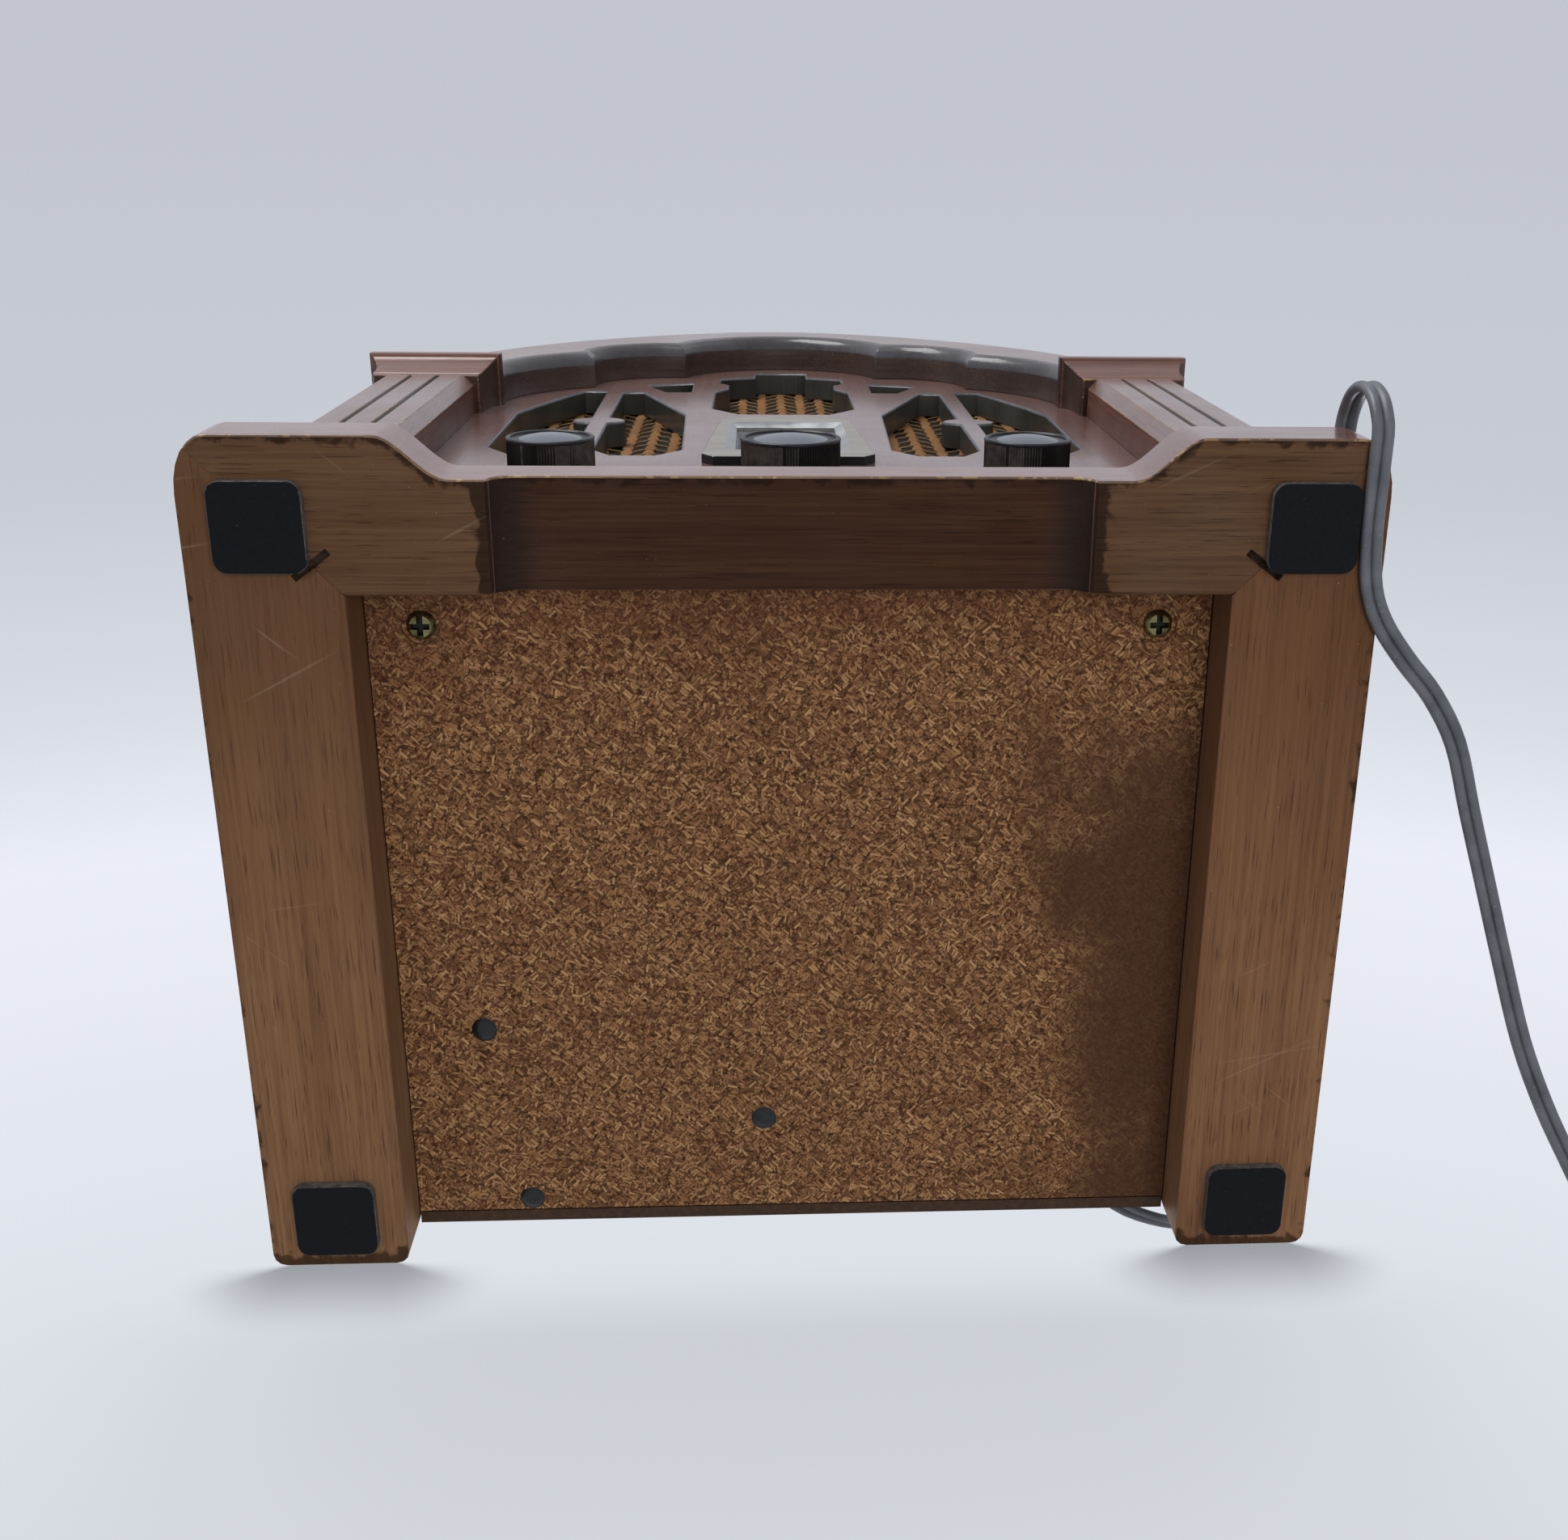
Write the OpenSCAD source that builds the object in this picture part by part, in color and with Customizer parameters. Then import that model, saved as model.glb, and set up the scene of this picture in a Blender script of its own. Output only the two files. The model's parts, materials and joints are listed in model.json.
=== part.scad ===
// Arched table radio receiver: a wooden "cathedral" cabinet on a framed base.
// Upright, front towards -Y, origin on the floor under the middle of the cabinet.

/* [Base] */
// Width of the base over both side rails
base_w = 250; // [240:1:260]
// Depth of the base from the plinth fronts to the rail ends
base_d = 196; // [190:1:206]
// Thickness of the base stock
base_t = 19; // [17:0.5:22]
// Width of each side rail
rail_w = 32; // [30:0.5:34]
// Depth of the front board at its plinths
front_d = 33; // [31:0.5:36]
// Set-back of the middle of the front board behind the plinths
waist = 8.8; // [6:0.1:10]
// Half width at which the plinth front ends and the ogee starts
plinth_in = 85; // [80:0.5:88]
// Run of the ogee along the front
ogee_w = 14.5; // [10:0.5:18]
// Rounding of the front corners, across
corner_x = 7; // [4:0.5:9]
// Rounding of the front corners, front to back
corner_y = 12; // [8:0.5:14]
// Half width of the shallow relief under the front board
relief_w = 62.5; // [55:0.5:66]
// Depth of that relief
relief_h = 4.8; // [3:0.1:6]
// Radius of the cove at each end of the relief
relief_r = 4.8; // [3:0.1:6]
// Length of the kerf across each mitre
kerf_l = 9.4; // [6:0.1:12]
// Width of that kerf
kerf_w = 1.6; // [1:0.1:2]

/* [Foot pads] */
// Side of each square foot pad
pad_w = 19; // [17:0.5:20]
// Thickness of the foot pads
pad_t = 2.5; // [2:0.1:4]
// Corner rounding of the foot pads
pad_r = 3; // [1:0.5:5]
// Pad edge from the side of the base
pad_side_gap = 6.6; // [5:0.1:8]
// Pad edge from the front of the base
pad_front_gap = 8.8; // [6:0.1:12]
// Pad edge from the back ends of the rails
pad_back_gap = 4.1; // [3:0.1:8]

/* [Bottom board] */
// Thickness of the particle board
board_t = 9.5; // [8:0.5:12]
// How far the board drops into the base frame
board_drop = 4; // [3:0.5:6]
// Fitting gap round the board
board_gap = 0.3; // [0.1:0.1:0.8]

/* [Cabinet] */
// Half width of the cabinet
arch_w = 112; // [108:0.5:114]
// Height above the floor at which the sides start to curve in
spring_z = 160; // [155:1:165]
// Radius of the curved sides
side_r = 150; // [140:1:160]
// Radius of the crown
crown_r = 55; // [50:1:60]
// Set-back of the column fronts behind the plinths
front_back = 8; // [6:0.5:10]
// Thickness of the bent cabinet wall
shell_t = 5; // [4:0.5:6]
// Thickness of the back cover
cover_t = 3; // [2:0.5:4]

/* [Columns] */
// Width of each column
col_w = 27; // [25:0.5:28]
// Projection of columns and arch frame from the panel
col_t = 11; // [9:0.5:13]
// Column centre inside the cabinet side
col_inset = 8.8; // [8:0.1:10]
// Chamfer of the column corners
col_chamfer = 3; // [1:0.5:4]
// Spacing of the two grooves of a column
groove_step = 7.5; // [6:0.1:9]
// Width of a groove
groove_w = 1.4; // [1:0.1:2]
// Depth of a groove
groove_h = 1.3; // [0.8:0.1:2]
// Height of the column shafts
col_h = 149; // [140:1:155]
// Width of each capital
cap_w = 38.5; // [37:0.5:41]
// Height of each capital
cap_h = 21.5; // [18:0.5:24]
// Overhang of the capitals in front of the columns
cap_over = 4; // [3:0.5:5]

/* [Arch moulding] */
// Half width of the crown foil at its cusps
foil_w1 = 32; // [29:0.5:35]
// Height of the crown cusps above the springing
foil_h1 = 97; // [94:0.5:100]
// Rise of the crown foil
foil_rise1 = 25; // [22:0.5:27]
// Half width at the lower cusps
foil_w2 = 60; // [57:0.5:62]
// Height of the lower cusps above the springing
foil_h2 = 71; // [68:0.5:74]
// Rise of the second foils
foil_rise2 = 10; // [8:0.5:12]
// Half width at which the lowest foils meet the capitals
foil_w3 = 85; // [83:0.5:88]
// Rise of the lowest foils
foil_rise3 = 6; // [4:0.5:8]
// Width of the cove on the moulding's edge
cove_w = 4; // [2:0.5:5]

/* [Fret panel] */
// Thickness of the fret panel
panel_t = 7; // [5:0.5:9]
// Half width of the middle opening
mid_w = 21; // [18:0.5:23]
// Width of the slanting bar between the side openings
bar_w = 5.5; // [4:0.5:8]
// Half width of the cross-piece on that bar
boss_w = 7.5; // [5:0.5:9]
// Half height of the cross-piece
boss_h = 5.5; // [4:0.5:8]

/* [Grille] */
// Thickness of the grille cloth
cloth_t = 1; // [0.6:0.1:1.5]
// Thickness of the baffle board
baffle_t = 6; // [4:0.5:8]

/* [Knobs] */
// Height of the knob axes above the floor
knob_z = 52.5; // [50:0.5:56]
// Distance of the side knobs from the middle
knob_x = 55; // [50:0.5:60]
// Diameter of the side knobs
knob_d = 20; // [18:0.5:22]
// Diameter of the middle knob
main_knob_d = 23; // [21:0.5:25]
// Length of the knobs
knob_l = 11; // [9:0.5:13]
// Running gap between knob and panel
knob_gap = 0.5; // [0.3:0.1:1]
// Diameter of the control shafts
shaft_d = 6; // [5:0.1:6.5]
// Radial running clearance of the shafts
run_fit = 0.05; // [0.03:0.01:0.08]

/* [Dial] */
// Height of the dial spindle above the floor
dial_z = 108; // [104:0.5:112]
// Half width of the dial plate at its foot
plate_w = 21.7; // [20:0.1:24]
// Half width of the dial plate at its shoulders
plate_top_w = 18; // [16:0.5:20]
// Height of the dial plate's foot above the floor
plate_z = 81.5; // [79:0.5:84]
// Height of the dial plate to its shoulders
plate_h = 62; // [58:0.5:66]
// Rise of the dial plate's curved top
plate_rise = 8; // [5:0.5:10]
// Thickness of the dial plate
plate_t = 2.3; // [2:0.1:3]
// Half width of the dial window
window_w = 13; // [12:0.5:14]
// Height of the dial window
window_h = 42; // [38:0.5:46]
// Length of the pointer from its axis
pointer_l = 11.5; // [9:0.5:12]
// Groove radius of the dial pulley
pulley_r = 18; // [15:0.5:20]
// Groove radius of the tuning spindle
drive_r = 6; // [5:0.5:7]
// Diameter of the dial spindle
spindle_d = 4; // [3:0.1:5]

/* [Speaker] */
// Height of the speaker axis above the floor
speaker_z = 214; // [208:1:218]
// Radius of the hole in the baffle
speaker_r = 44; // [40:1:46]
// Depth of the speaker basket
basket_h = 24; // [20:1:28]
// Radius of the magnet
magnet_r = 22; // [18:1:26]

/* [Chassis] */
// Thickness of the chassis sheet
sheet_t = 1.2; // [0.8:0.1:2]
// Half width of the chassis
chassis_w = 70; // [66:1:72]
// Height of the chassis front above the board
chassis_h = 104; // [98:1:110]
// Thickness of the circuit board
pcb_t = 1.6; // [1.2:0.1:2]
// Height of the stand-offs under it
standoff_h = 8; // [5:0.5:12]

/* [Lead] */
// Width of the flat lead
lead_w = 4.8; // [4.6:0.1:5]
// Thickness of the flat lead
lead_t = 2.4; // [2.2:0.1:2.4]
// Outer radius of the coil's path
coil_r = 36; // [34:0.5:40]
// Whole loops of the coil, which has half a loop more
coil_loops = 7; // [6:1:8]
// Step between turns, side by side
coil_step = 5.3; // [5.3:0.1:5.6]
// Step between the two layers
coil_rise = 2.9; // [2.9:0.1:3.4]

/* [Hidden] */
$fn = 48;

// Heights and depths that several pieces share.
front_y = -base_d / 2;
back_y = base_d / 2;
base_z = pad_t + base_t;
board_z = base_z - board_drop;
deck_z = board_z + board_t;
col_y = front_y + front_back;
panel_y = col_y + col_t;
panel_back = panel_y + panel_t;
baffle_y = panel_back + cloth_t;
baffle_back = baffle_y + baffle_t;
sheet_y = baffle_back + sheet_t;
col_x = arch_w - col_inset;
cap_z = base_z + col_h;
cap_top = cap_z + cap_h;
inner_w = base_w / 2 - rail_w;

// Fasteners.
screw_head_t = 1.5;
screw_head_r = 3.3;
screw_r = 1.6;
screw_fit = 0.1;
cover_y = back_y - screw_head_t - cover_t;
bottom_screw_x = inner_w - 12;
bottom_screw_y = front_y + 43;
bottom_screw_sink = 1;
rivet_r = 3;
rivet_pin_r = 1.5;
rivets = [[-73.8, 43.3], [-7.7, 68.6], [-65.1, 90]];
block_w = 16;
block_d = 18;
block_h = 20;

// Three-centred arch: two side arcs and a crown arc that meet without a corner.
side_cx = arch_w - side_r;
crown_cz = spring_z + sqrt(pow(side_r - crown_r, 2) - pow(side_cx, 2));
meet_a = atan2(crown_cz - spring_z, -side_cx);

function arc(c, r, a0, a1, n) =
    [for (i = [0 : n]) c + r * [cos(a0 + (a1 - a0) * i / n), sin(a0 + (a1 - a0) * i / n)]];
function tail(v, k = 1) = [for (i = [k : len(v) - 1]) v[i]];
function flip(v, k = 0) = [for (i = [len(v) - 1 - k : -1 : 0]) [-v[i].x, v[i].y]];
function arch_half(inset) = concat(
    arc([side_cx, spring_z], side_r - inset, 0, meet_a, 14),
    tail(arc([0, crown_cz], crown_r - inset, meet_a, 90, 6)));
function arch_outline(inset, z0) = concat([[arch_w - inset, z0]], arch_half(inset),
    flip(arch_half(inset), 1), [[inset - arch_w, z0]]);

// Multifoil: circles through each pair of cusps, widened by d for the cove.
cusp1 = [foil_w1, spring_z + foil_h1];
cusp2 = [foil_w2, spring_z + foil_h2];
foot = [foil_w3, cap_top];
function chord_circle(p, q, rise) =
    let (h = norm(q - p) / 2, r = (h * h + rise * rise) / (2 * rise), u = (q - p) / norm(q - p))
    [(p + q) / 2 - (r - rise) * [-u.y, u.x], r];
foils = [chord_circle([-foil_w1, cusp1.y], cusp1, foil_rise1),
    chord_circle(cusp1, cusp2, foil_rise2), chord_circle(cusp2, foot, foil_rise3)];
function meet(a, b, d) =
    let (v = b[0] - a[0], l = norm(v), u = v / l,
        s = (pow(a[1] + d, 2) - pow(b[1] + d, 2) + l * l) / (2 * l))
    a[0] + s * u + sqrt(pow(a[1] + d, 2) - s * s) * [-u.y, u.x];
function meet_level(a, z, d) = [a[0].x + sqrt(pow(a[1] + d, 2) - pow(z - a[0].y, 2)), z];
function angle_of(c, p) = atan2(p.y - c.y, p.x - c.x);
function foil_arc(f, p, q, d, n) =
    arc(f[0], f[1] + d, angle_of(f[0], p), angle_of(f[0], q), n);
foil_n = 6;
function foil_half(d) =
    let (a = meet(foils[0], foils[1], d), b = meet(foils[1], foils[2], d),
        c = meet_level(foils[2], cap_top, d), top = foils[0][0] + [0, foils[0][1] + d])
    concat(foil_arc(foils[0], top, a, d, foil_n), tail(foil_arc(foils[1], a, b, d, foil_n)),
        tail(foil_arc(foils[2], b, c, d, foil_n)));

// Point of the arch at a share t of its length from the crown down to the capital.
function arch_point(t, d) =
    let (end_a = asin((cap_top - spring_z) / (side_r - d)),
        l1 = crown_r * (90 - meet_a), l2 = side_r * (meet_a - end_a), s = t * (l1 + l2))
    s < l1 ? [0, crown_cz] + (crown_r - d) * [cos(90 - s / crown_r), sin(90 - s / crown_r)]
        : [side_cx, spring_z] + (side_r - d)
            * [cos(meet_a - (s - l1) / side_r), sin(meet_a - (s - l1) / side_r)];
function rim_half(d) = [for (i = [0 : 3 * foil_n]) arch_point(i / (3 * foil_n), d)];

// Closed skin over a row of loops with equal numbers of points, capped at both ends.
module loft(loops) {
    n = len(loops[0]);
    m = len(loops);
    polyhedron(points = [for (l = loops) each l],
        faces = concat([[for (i = [n - 1 : -1 : 0]) i]], [[for (i = [0 : n - 1]) (m - 1) * n + i]],
            [for (j = [0 : m - 2], i = [0 : n - 1]) each
                [[j * n + i, j * n + (i + 1) % n, (j + 1) * n + i],
                [j * n + (i + 1) % n, (j + 1) * n + (i + 1) % n, (j + 1) * n + i]]]),
        convexity = 6);
}

// Children drawn in X and Y stand up in X and Z and grow towards the front.
module forward(y, x = 0, z = 0) translate([x, y, z]) rotate([90, 0, 0]) children();
module both() {
    children();
    mirror([1, 0, 0]) children();
}
module disc(r, h) cylinder(r = r, h = h);

// Base frame: front board and two side rails, mitred at the front corners.
function smooth(u) = u * u * (3 - 2 * u);
ogee_n = 10;
rail_round = 3;
function base_edge() = concat(
    [for (i = [0 : ogee_n]) let (u = i / ogee_n)
        [plinth_in - ogee_w * (1 - u), front_y + waist * (1 - smooth(u))]],
    [for (i = [0 : 6]) let (a = 90 * i / 6)
        [base_w / 2 - corner_x * (1 - sin(a)), front_y + corner_y * (1 - cos(a))]],
    arc([base_w / 2 - rail_round, back_y - rail_round], rail_round, 0, 90, 3),
    arc([inner_w + rail_round, back_y - rail_round], rail_round, 90, 180, 3),
    [[inner_w, front_y + front_d]]);
module base_plan() polygon(concat(base_edge(), flip(base_edge())));
mitre_far = 2;
module mitre_wedge() polygon([[0, front_y - mitre_far], [base_w / 2, front_y],
    [inner_w, front_y + front_d], [0, front_y + front_d]]);

module base_front_board() color("#5a4030") difference() {
    translate([0, 0, pad_t]) linear_extrude(base_t) intersection() {
        base_plan();
        union() both() mitre_wedge();
    }
    relief();
    both() mitre_kerf();
}

module relief() translate([0, front_y - 1, pad_t]) rotate([-90, 0, 0])
    linear_extrude(front_d + 2) polygon(concat(
        [[-relief_w, 1], [relief_w, 1]],
        arc([relief_w - relief_r, 0], relief_r, 0, -asin(min(1, relief_h / relief_r)), 6),
        flip(arc([relief_w - relief_r, 0], relief_r, 0, -asin(min(1, relief_h / relief_r)), 6))));

kerf_h = 3;
kerf_at = 0.8;
module mitre_kerf() translate([base_w / 2 - rail_w * kerf_at, front_y + front_d * kerf_at, pad_t])
    rotate([0, 0, 37]) translate([-kerf_l / 2, -kerf_w / 2, -1]) cube([kerf_l, kerf_w, kerf_h + 1]);

module base_rail() color("#7a573f") difference() {
    translate([0, 0, pad_t]) linear_extrude(base_t) difference() {
        base_plan();
        translate([-base_w, -base_d]) square([base_w, base_d * 2]);
        mitre_wedge();
    }
    mitre_kerf();
}
module base_rail_right() base_rail();
module base_rail_left() mirror([1, 0, 0]) base_rail();

module foot_pad(x, y) translate([x, y, 0]) linear_extrude(pad_t) polygon(concat(
    arc([pad_w / 2 - pad_r, pad_w / 2 - pad_r], pad_r, 0, 90, 5),
    arc([pad_r - pad_w / 2, pad_w / 2 - pad_r], pad_r, 90, 180, 5),
    arc([pad_r - pad_w / 2, pad_r - pad_w / 2], pad_r, 180, 270, 5),
    arc([pad_w / 2 - pad_r, pad_r - pad_w / 2], pad_r, 270, 360, 5)));
module foot_pads() color("#1b1d21") both() {
    foot_pad(base_w / 2 - pad_side_gap - pad_w / 2, front_y + pad_front_gap + pad_w / 2);
    foot_pad(base_w / 2 - pad_side_gap - pad_w / 2, back_y - pad_back_gap - pad_w / 2);
}

// Particle board in the base frame, with its screws and rivets.
module bottom_board() color("#8a643f") difference() {
    translate([board_gap - inner_w, front_y + front_d + board_gap, board_z])
        cube([2 * (inner_w - board_gap), cover_y - front_y - front_d - 2 * board_gap, board_t]);
    both() translate([bottom_screw_x, bottom_screw_y, board_z - 1]) {
        disc(screw_head_r + 0.9, bottom_screw_sink + 1);
        disc(screw_r + screw_fit, board_t + 2);
    }
    for (p = rivets) translate([p.x, p.y, board_z - 1]) disc(rivet_pin_r + screw_fit, board_t + 2);
}

// Low domed head on a plain shank; the head's flat side is at z = 0 and the shank goes up.
module pan_head(r, t) rotate_extrude() polygon(concat([[0, 0], [0, -t]],
    tail(arc([0, r * r / (2 * t) - t / 2], r * r / (2 * t) + t / 2, -90, -90 + asin(min(1,
        r / (r * r / (2 * t) + t / 2))), 6))));
module fastener(r, t, shank_r, shank_l) {
    pan_head(r, t);
    disc(shank_r, shank_l);
}
bottom_screw_l = board_t - bottom_screw_sink + 12;
module bottom_screws() color("#b5a45a") both()
    translate([bottom_screw_x, bottom_screw_y, board_z + bottom_screw_sink])
        fastener(screw_head_r, screw_head_t + 0.5, screw_r, bottom_screw_l);
module bottom_rivets() color("#20211f") for (p = rivets)
    translate([p.x, p.y, board_z]) fastener(rivet_r, 1.4, rivet_pin_r, board_t + sheet_t + 1);

module glue_blocks() color("#b08a5c") both() difference() {
    translate([bottom_screw_x - block_w / 2, baffle_back, deck_z]) cube([block_w, block_d, block_h]);
    translate([bottom_screw_x, bottom_screw_y, deck_z - 1]) disc(screw_r + screw_fit, block_h - 2);
}

// Columns with two grooves, under moulded capitals.
module column() translate([col_x, panel_y, base_z]) linear_extrude(col_h) polygon(concat(
    column_half(), flip(column_half())));
function column_half() = [
    [groove_step / 2 - groove_w / 2, -col_t], [groove_step / 2, groove_h - col_t],
    [groove_step / 2 + groove_w / 2, -col_t], [col_w / 2 - col_chamfer, -col_t],
    [col_w / 2, col_chamfer - col_t], [col_w / 2, 0]];
module column_right() color("#97897f") column();
module column_left() color("#97897f") mirror([1, 0, 0]) column();

cap_profile = [[0, 4.4], [0.14, 4.2], [0.23, 3.6], [0.4, 2.3], [0.52, 2], [0.58, 1.2],
    [0.8, 0.4], [0.88, 0], [1, 0]];
module capital() translate([col_x, panel_y, cap_z]) loft([for (p = cap_profile)
    let (w = cap_w / 2 - p[1], y = p[1] - col_t - cap_over, z = p[0] * cap_h)
    [[-w, y, z], [w, y, z], [w, 0, z], [-w, 0, z]]]);
module capital_right() color("#7d554a") capital();
module capital_left() color("#7d554a") mirror([1, 0, 0]) capital();

// Arch frame: a flat band outside, a cove and a scalloped wall inside.
frame_section = [[0, 0], [0, 0.64], [0.2, 0.83], [0.55, 0.95], [1, 1]];
rim_round = 1;
function frame_loop(i, side) = concat(
    [for (s = frame_section) let (p = foil_half(s[0] * cove_w)[i])
        [side * p.x, panel_y - s[1] * col_t, p.y]],
    [for (s = [[rim_round, col_t], [0, col_t - rim_round], [0, 0]]) let (p = rim_half(s[0])[i])
        [side * p.x, panel_y - s[1], p.y]]);
module arch_frame() color("#b09a94") loft(concat(
    [for (i = [3 * foil_n : -1 : 0]) frame_loop(i, -1)],
    [for (i = [1 : 3 * foil_n]) frame_loop(i, 1)]));

// Fret panel: openings drawn from the springing height and the dial plate.
plate_top = plate_z + plate_h + plate_rise;
bar_top = [53, spring_z + 61];
bar_foot = [53, spring_z - 60];
fret_gap = 20;
function mid_opening_half() = [[13, plate_top + fret_gap], [mid_w, spring_z + 23],
    [mid_w, spring_z + 61], [mid_w - 4, spring_z + 70], [mid_w - 4, spring_z + 80],
    [mid_w - 1, spring_z + 84], [mid_w - 1, spring_z + 95], [8.5, spring_z + 100],
    [8.5, spring_z + 111]];
wing_opening = [[29, spring_z + 61], [36.5, spring_z + 60.5], [43.5, spring_z + 77.5],
    [29, spring_z + 83]];
inner_opening = [[27.6, spring_z - 54], [34, spring_z - 63], [bar_foot.x - 8, spring_z - 63],
    [bar_foot.x - bar_w / 2, spring_z - 54], [bar_top.x - bar_w / 2, spring_z + 59],
    [44, spring_z + 60], [29, spring_z + 10], [28.5, spring_z - 10]];
outer_opening = [[bar_foot.x + bar_w / 2, spring_z - 54], [bar_foot.x + 8, spring_z - 63],
    [70, spring_z - 63], [77.6, spring_z - 50], [77.6, spring_z + 12], [74, spring_z + 27],
    [66, spring_z + 53], [62.6, spring_z + 62], [bar_top.x + bar_w / 2, spring_z + 62]];
boss_z = spring_z - 1.5;
module fret_cuts() {
    polygon(concat(mid_opening_half(), flip(mid_opening_half())));
    both() {
        polygon(wing_opening);
        difference() {
            union() {
                polygon(inner_opening);
                polygon(outer_opening);
            }
            polygon([for (a = [0 : 22.5 : 337.5])
                [bar_top.x + boss_w * cos(a), boss_z + boss_h * sin(a)]]);
        }
    }
}
shaft_hole_r = shaft_d / 2 + 1;
module fret_panel() color("#8a675e") difference() {
    forward(panel_back) linear_extrude(panel_t) difference() {
        polygon(arch_outline(0, base_z));
        fret_cuts();
        translate([-window_w, window_z]) square([2 * window_w, window_h]);
    }
    for (x = [-knob_x, 0, knob_x]) forward(panel_back + 1, x, knob_z) disc(shaft_hole_r, panel_t + 2);
}

// Bent wall behind the panel, open at the front, the back and the bottom.
back_screw_a = [20, 58, 90, 122, 160];
back_screw_side_z = [45, 110];
function shell_mid(a) = a < meet_a ? [side_cx, spring_z] + (side_r - shell_t / 2) * [cos(a), sin(a)]
    : [0, crown_cz] + (crown_r - shell_t / 2) * [cos(a), sin(a)];
function screw_spot(a) = a > 180 - meet_a ? [-shell_mid(180 - a).x, shell_mid(180 - a).y] : shell_mid(a);
back_screw_spots = concat([for (a = back_screw_a) screw_spot(a)],
    [for (s = [-1, 1], z = back_screw_side_z) [s * (arch_w - shell_t / 2), z]]);
back_screw_r = 1.3;
back_screw_l = 10;
back_head_r = 2.4;
module cabinet_shell() color("#6f4c3a") difference() {
    forward(cover_y) linear_extrude(cover_y - panel_back) difference() {
        polygon(arch_outline(0, base_z));
        polygon(arch_outline(shell_t, base_z - 1));
    }
    for (p = back_screw_spots) forward(cover_y + 1, p.x, p.y)
        disc(back_screw_r + run_fit, back_screw_l + 3);
}

// Grille cloth and the baffle that stretches it.
cloth_inset = shell_t + 3;
scale_w = window_w + 4;
scale_margin = 4;
window_z = plate_z + 13.5;
module scale_area(grow) translate([-scale_w - grow, window_z - scale_margin - grow])
    square([2 * (scale_w + grow), window_h + 2 * (scale_margin + grow)]);
cloth_foot = plate_z - 6;
module grille_cloth() color("#b5764a") forward(baffle_y) linear_extrude(cloth_t) difference() {
    polygon(arch_outline(cloth_inset, cloth_foot));
    scale_area(0.5);
}
baffle_fit = 0.3;
bushing_r = 4.5;
bushing_fit = 0.2;
module baffle_board() color("#6b5138") difference() {
    forward(baffle_back) linear_extrude(baffle_t)
        polygon(arch_outline(shell_t + baffle_fit, base_z));
    forward(baffle_back + 1, 0, speaker_z) disc(speaker_r, baffle_t + 2);
    forward(baffle_back + 1, 0, dial_z) disc(spindle_d / 2 + 1, baffle_t + 2);
    for (x = [-knob_x, 0, knob_x]) forward(baffle_back + 1, x, knob_z)
        disc(bushing_r + bushing_fit, baffle_t + 2);
    for (a = [45 : 90 : 315]) forward(baffle_back + 1, speaker_screw_r * cos(a),
        speaker_z + speaker_screw_r * sin(a)) disc(speaker_pin_r + screw_fit, 4);
}

// Dial: plate, window, printed scale, pointer and its drive.
function plate_outline(inset) =
    let (w = plate_top_w - inset, h = plate_rise, r = (w * w + h * h) / (2 * h),
        z = plate_z + plate_h - inset, a = asin(w / r))
    concat([[inset + 3 - plate_w, plate_z + inset], [plate_w - 3 - inset, plate_z + inset],
        [plate_w - inset, plate_z + 4 + inset / 2]],
        arc([0, z + h - r], r, 90 - a, 90 + a, 10),
        [[inset - plate_w, plate_z + 4 + inset / 2]]);
glass_t = 1;
glass_over = 2;
module window_frame(w, h, y, t) forward(y, 0, window_z + window_h / 2 - h / 2)
    translate([-w / 2, 0, 0]) cube([w, h, t]);
bezel_flare = 3;
module dial_escutcheon() color("#8f9996") difference() {
    forward(panel_y) linear_extrude(plate_t) polygon(plate_outline(0));
    window_frame(2 * (window_w + glass_over), window_h + 2 * glass_over, panel_y + 1, glass_t + 1);
    hull() {
        window_frame(2 * window_w - 1, window_h - 1, panel_y - glass_t + 0.4, 0.1);
        window_frame(2 * (window_w + bezel_flare), window_h + 2 * bezel_flare,
            panel_y - plate_t - 0.1, 0.1);
    }
}
module dial_window() color("#e8eef2", 0.35)
    window_frame(2 * (window_w + glass_over) - 0.2, window_h + 2 * glass_over - 0.2, panel_y, glass_t);
scale_t = 0.8;
module dial_scale() color("#f0ead8") difference() {
    forward(baffle_y) linear_extrude(scale_t) scale_area(0);
    forward(baffle_y + 1, 0, dial_z) disc(spindle_d / 2 + 1, scale_t + 2);
}
pointer_y = panel_back - 3.5;
pointer_t = 0.8;
pointer_hub_r = 3.2;
module dial_pointer() color("#b03a2a") forward(pointer_y, 0, dial_z) difference() {
    union() {
        disc(pointer_hub_r, pointer_t + 0.6);
        linear_extrude(pointer_t) polygon([[-1, 0], [1, 0], [0.35, pointer_l], [-0.35, pointer_l]]);
    }
    translate([0, 0, -1]) disc(spindle_d / 2, pointer_t + 3);
}
drive_y = sheet_y + 3.5;
drive_t = 5;
flange = 1.8;
groove_gap = 0.3;
spindle_end = 9;
function grooved(r, t) = [[r + flange, 0], [r + flange, 1], [r - groove_gap, t / 2 - 0.6],
    [r - groove_gap, t / 2 + 0.6], [r + flange, t - 1], [r + flange, t]];
module dial_pulley() color("#c9c4b4") {
    forward(drive_y + drive_t, 0, dial_z) rotate_extrude()
        polygon(concat([[0, 0]], grooved(pulley_r, drive_t), [[0, drive_t]]));
    forward(drive_y + drive_t + spindle_end, 0, dial_z)
        disc(spindle_d / 2, drive_y + drive_t + spindle_end - pointer_y + pointer_t + 0.6);
}
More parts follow.
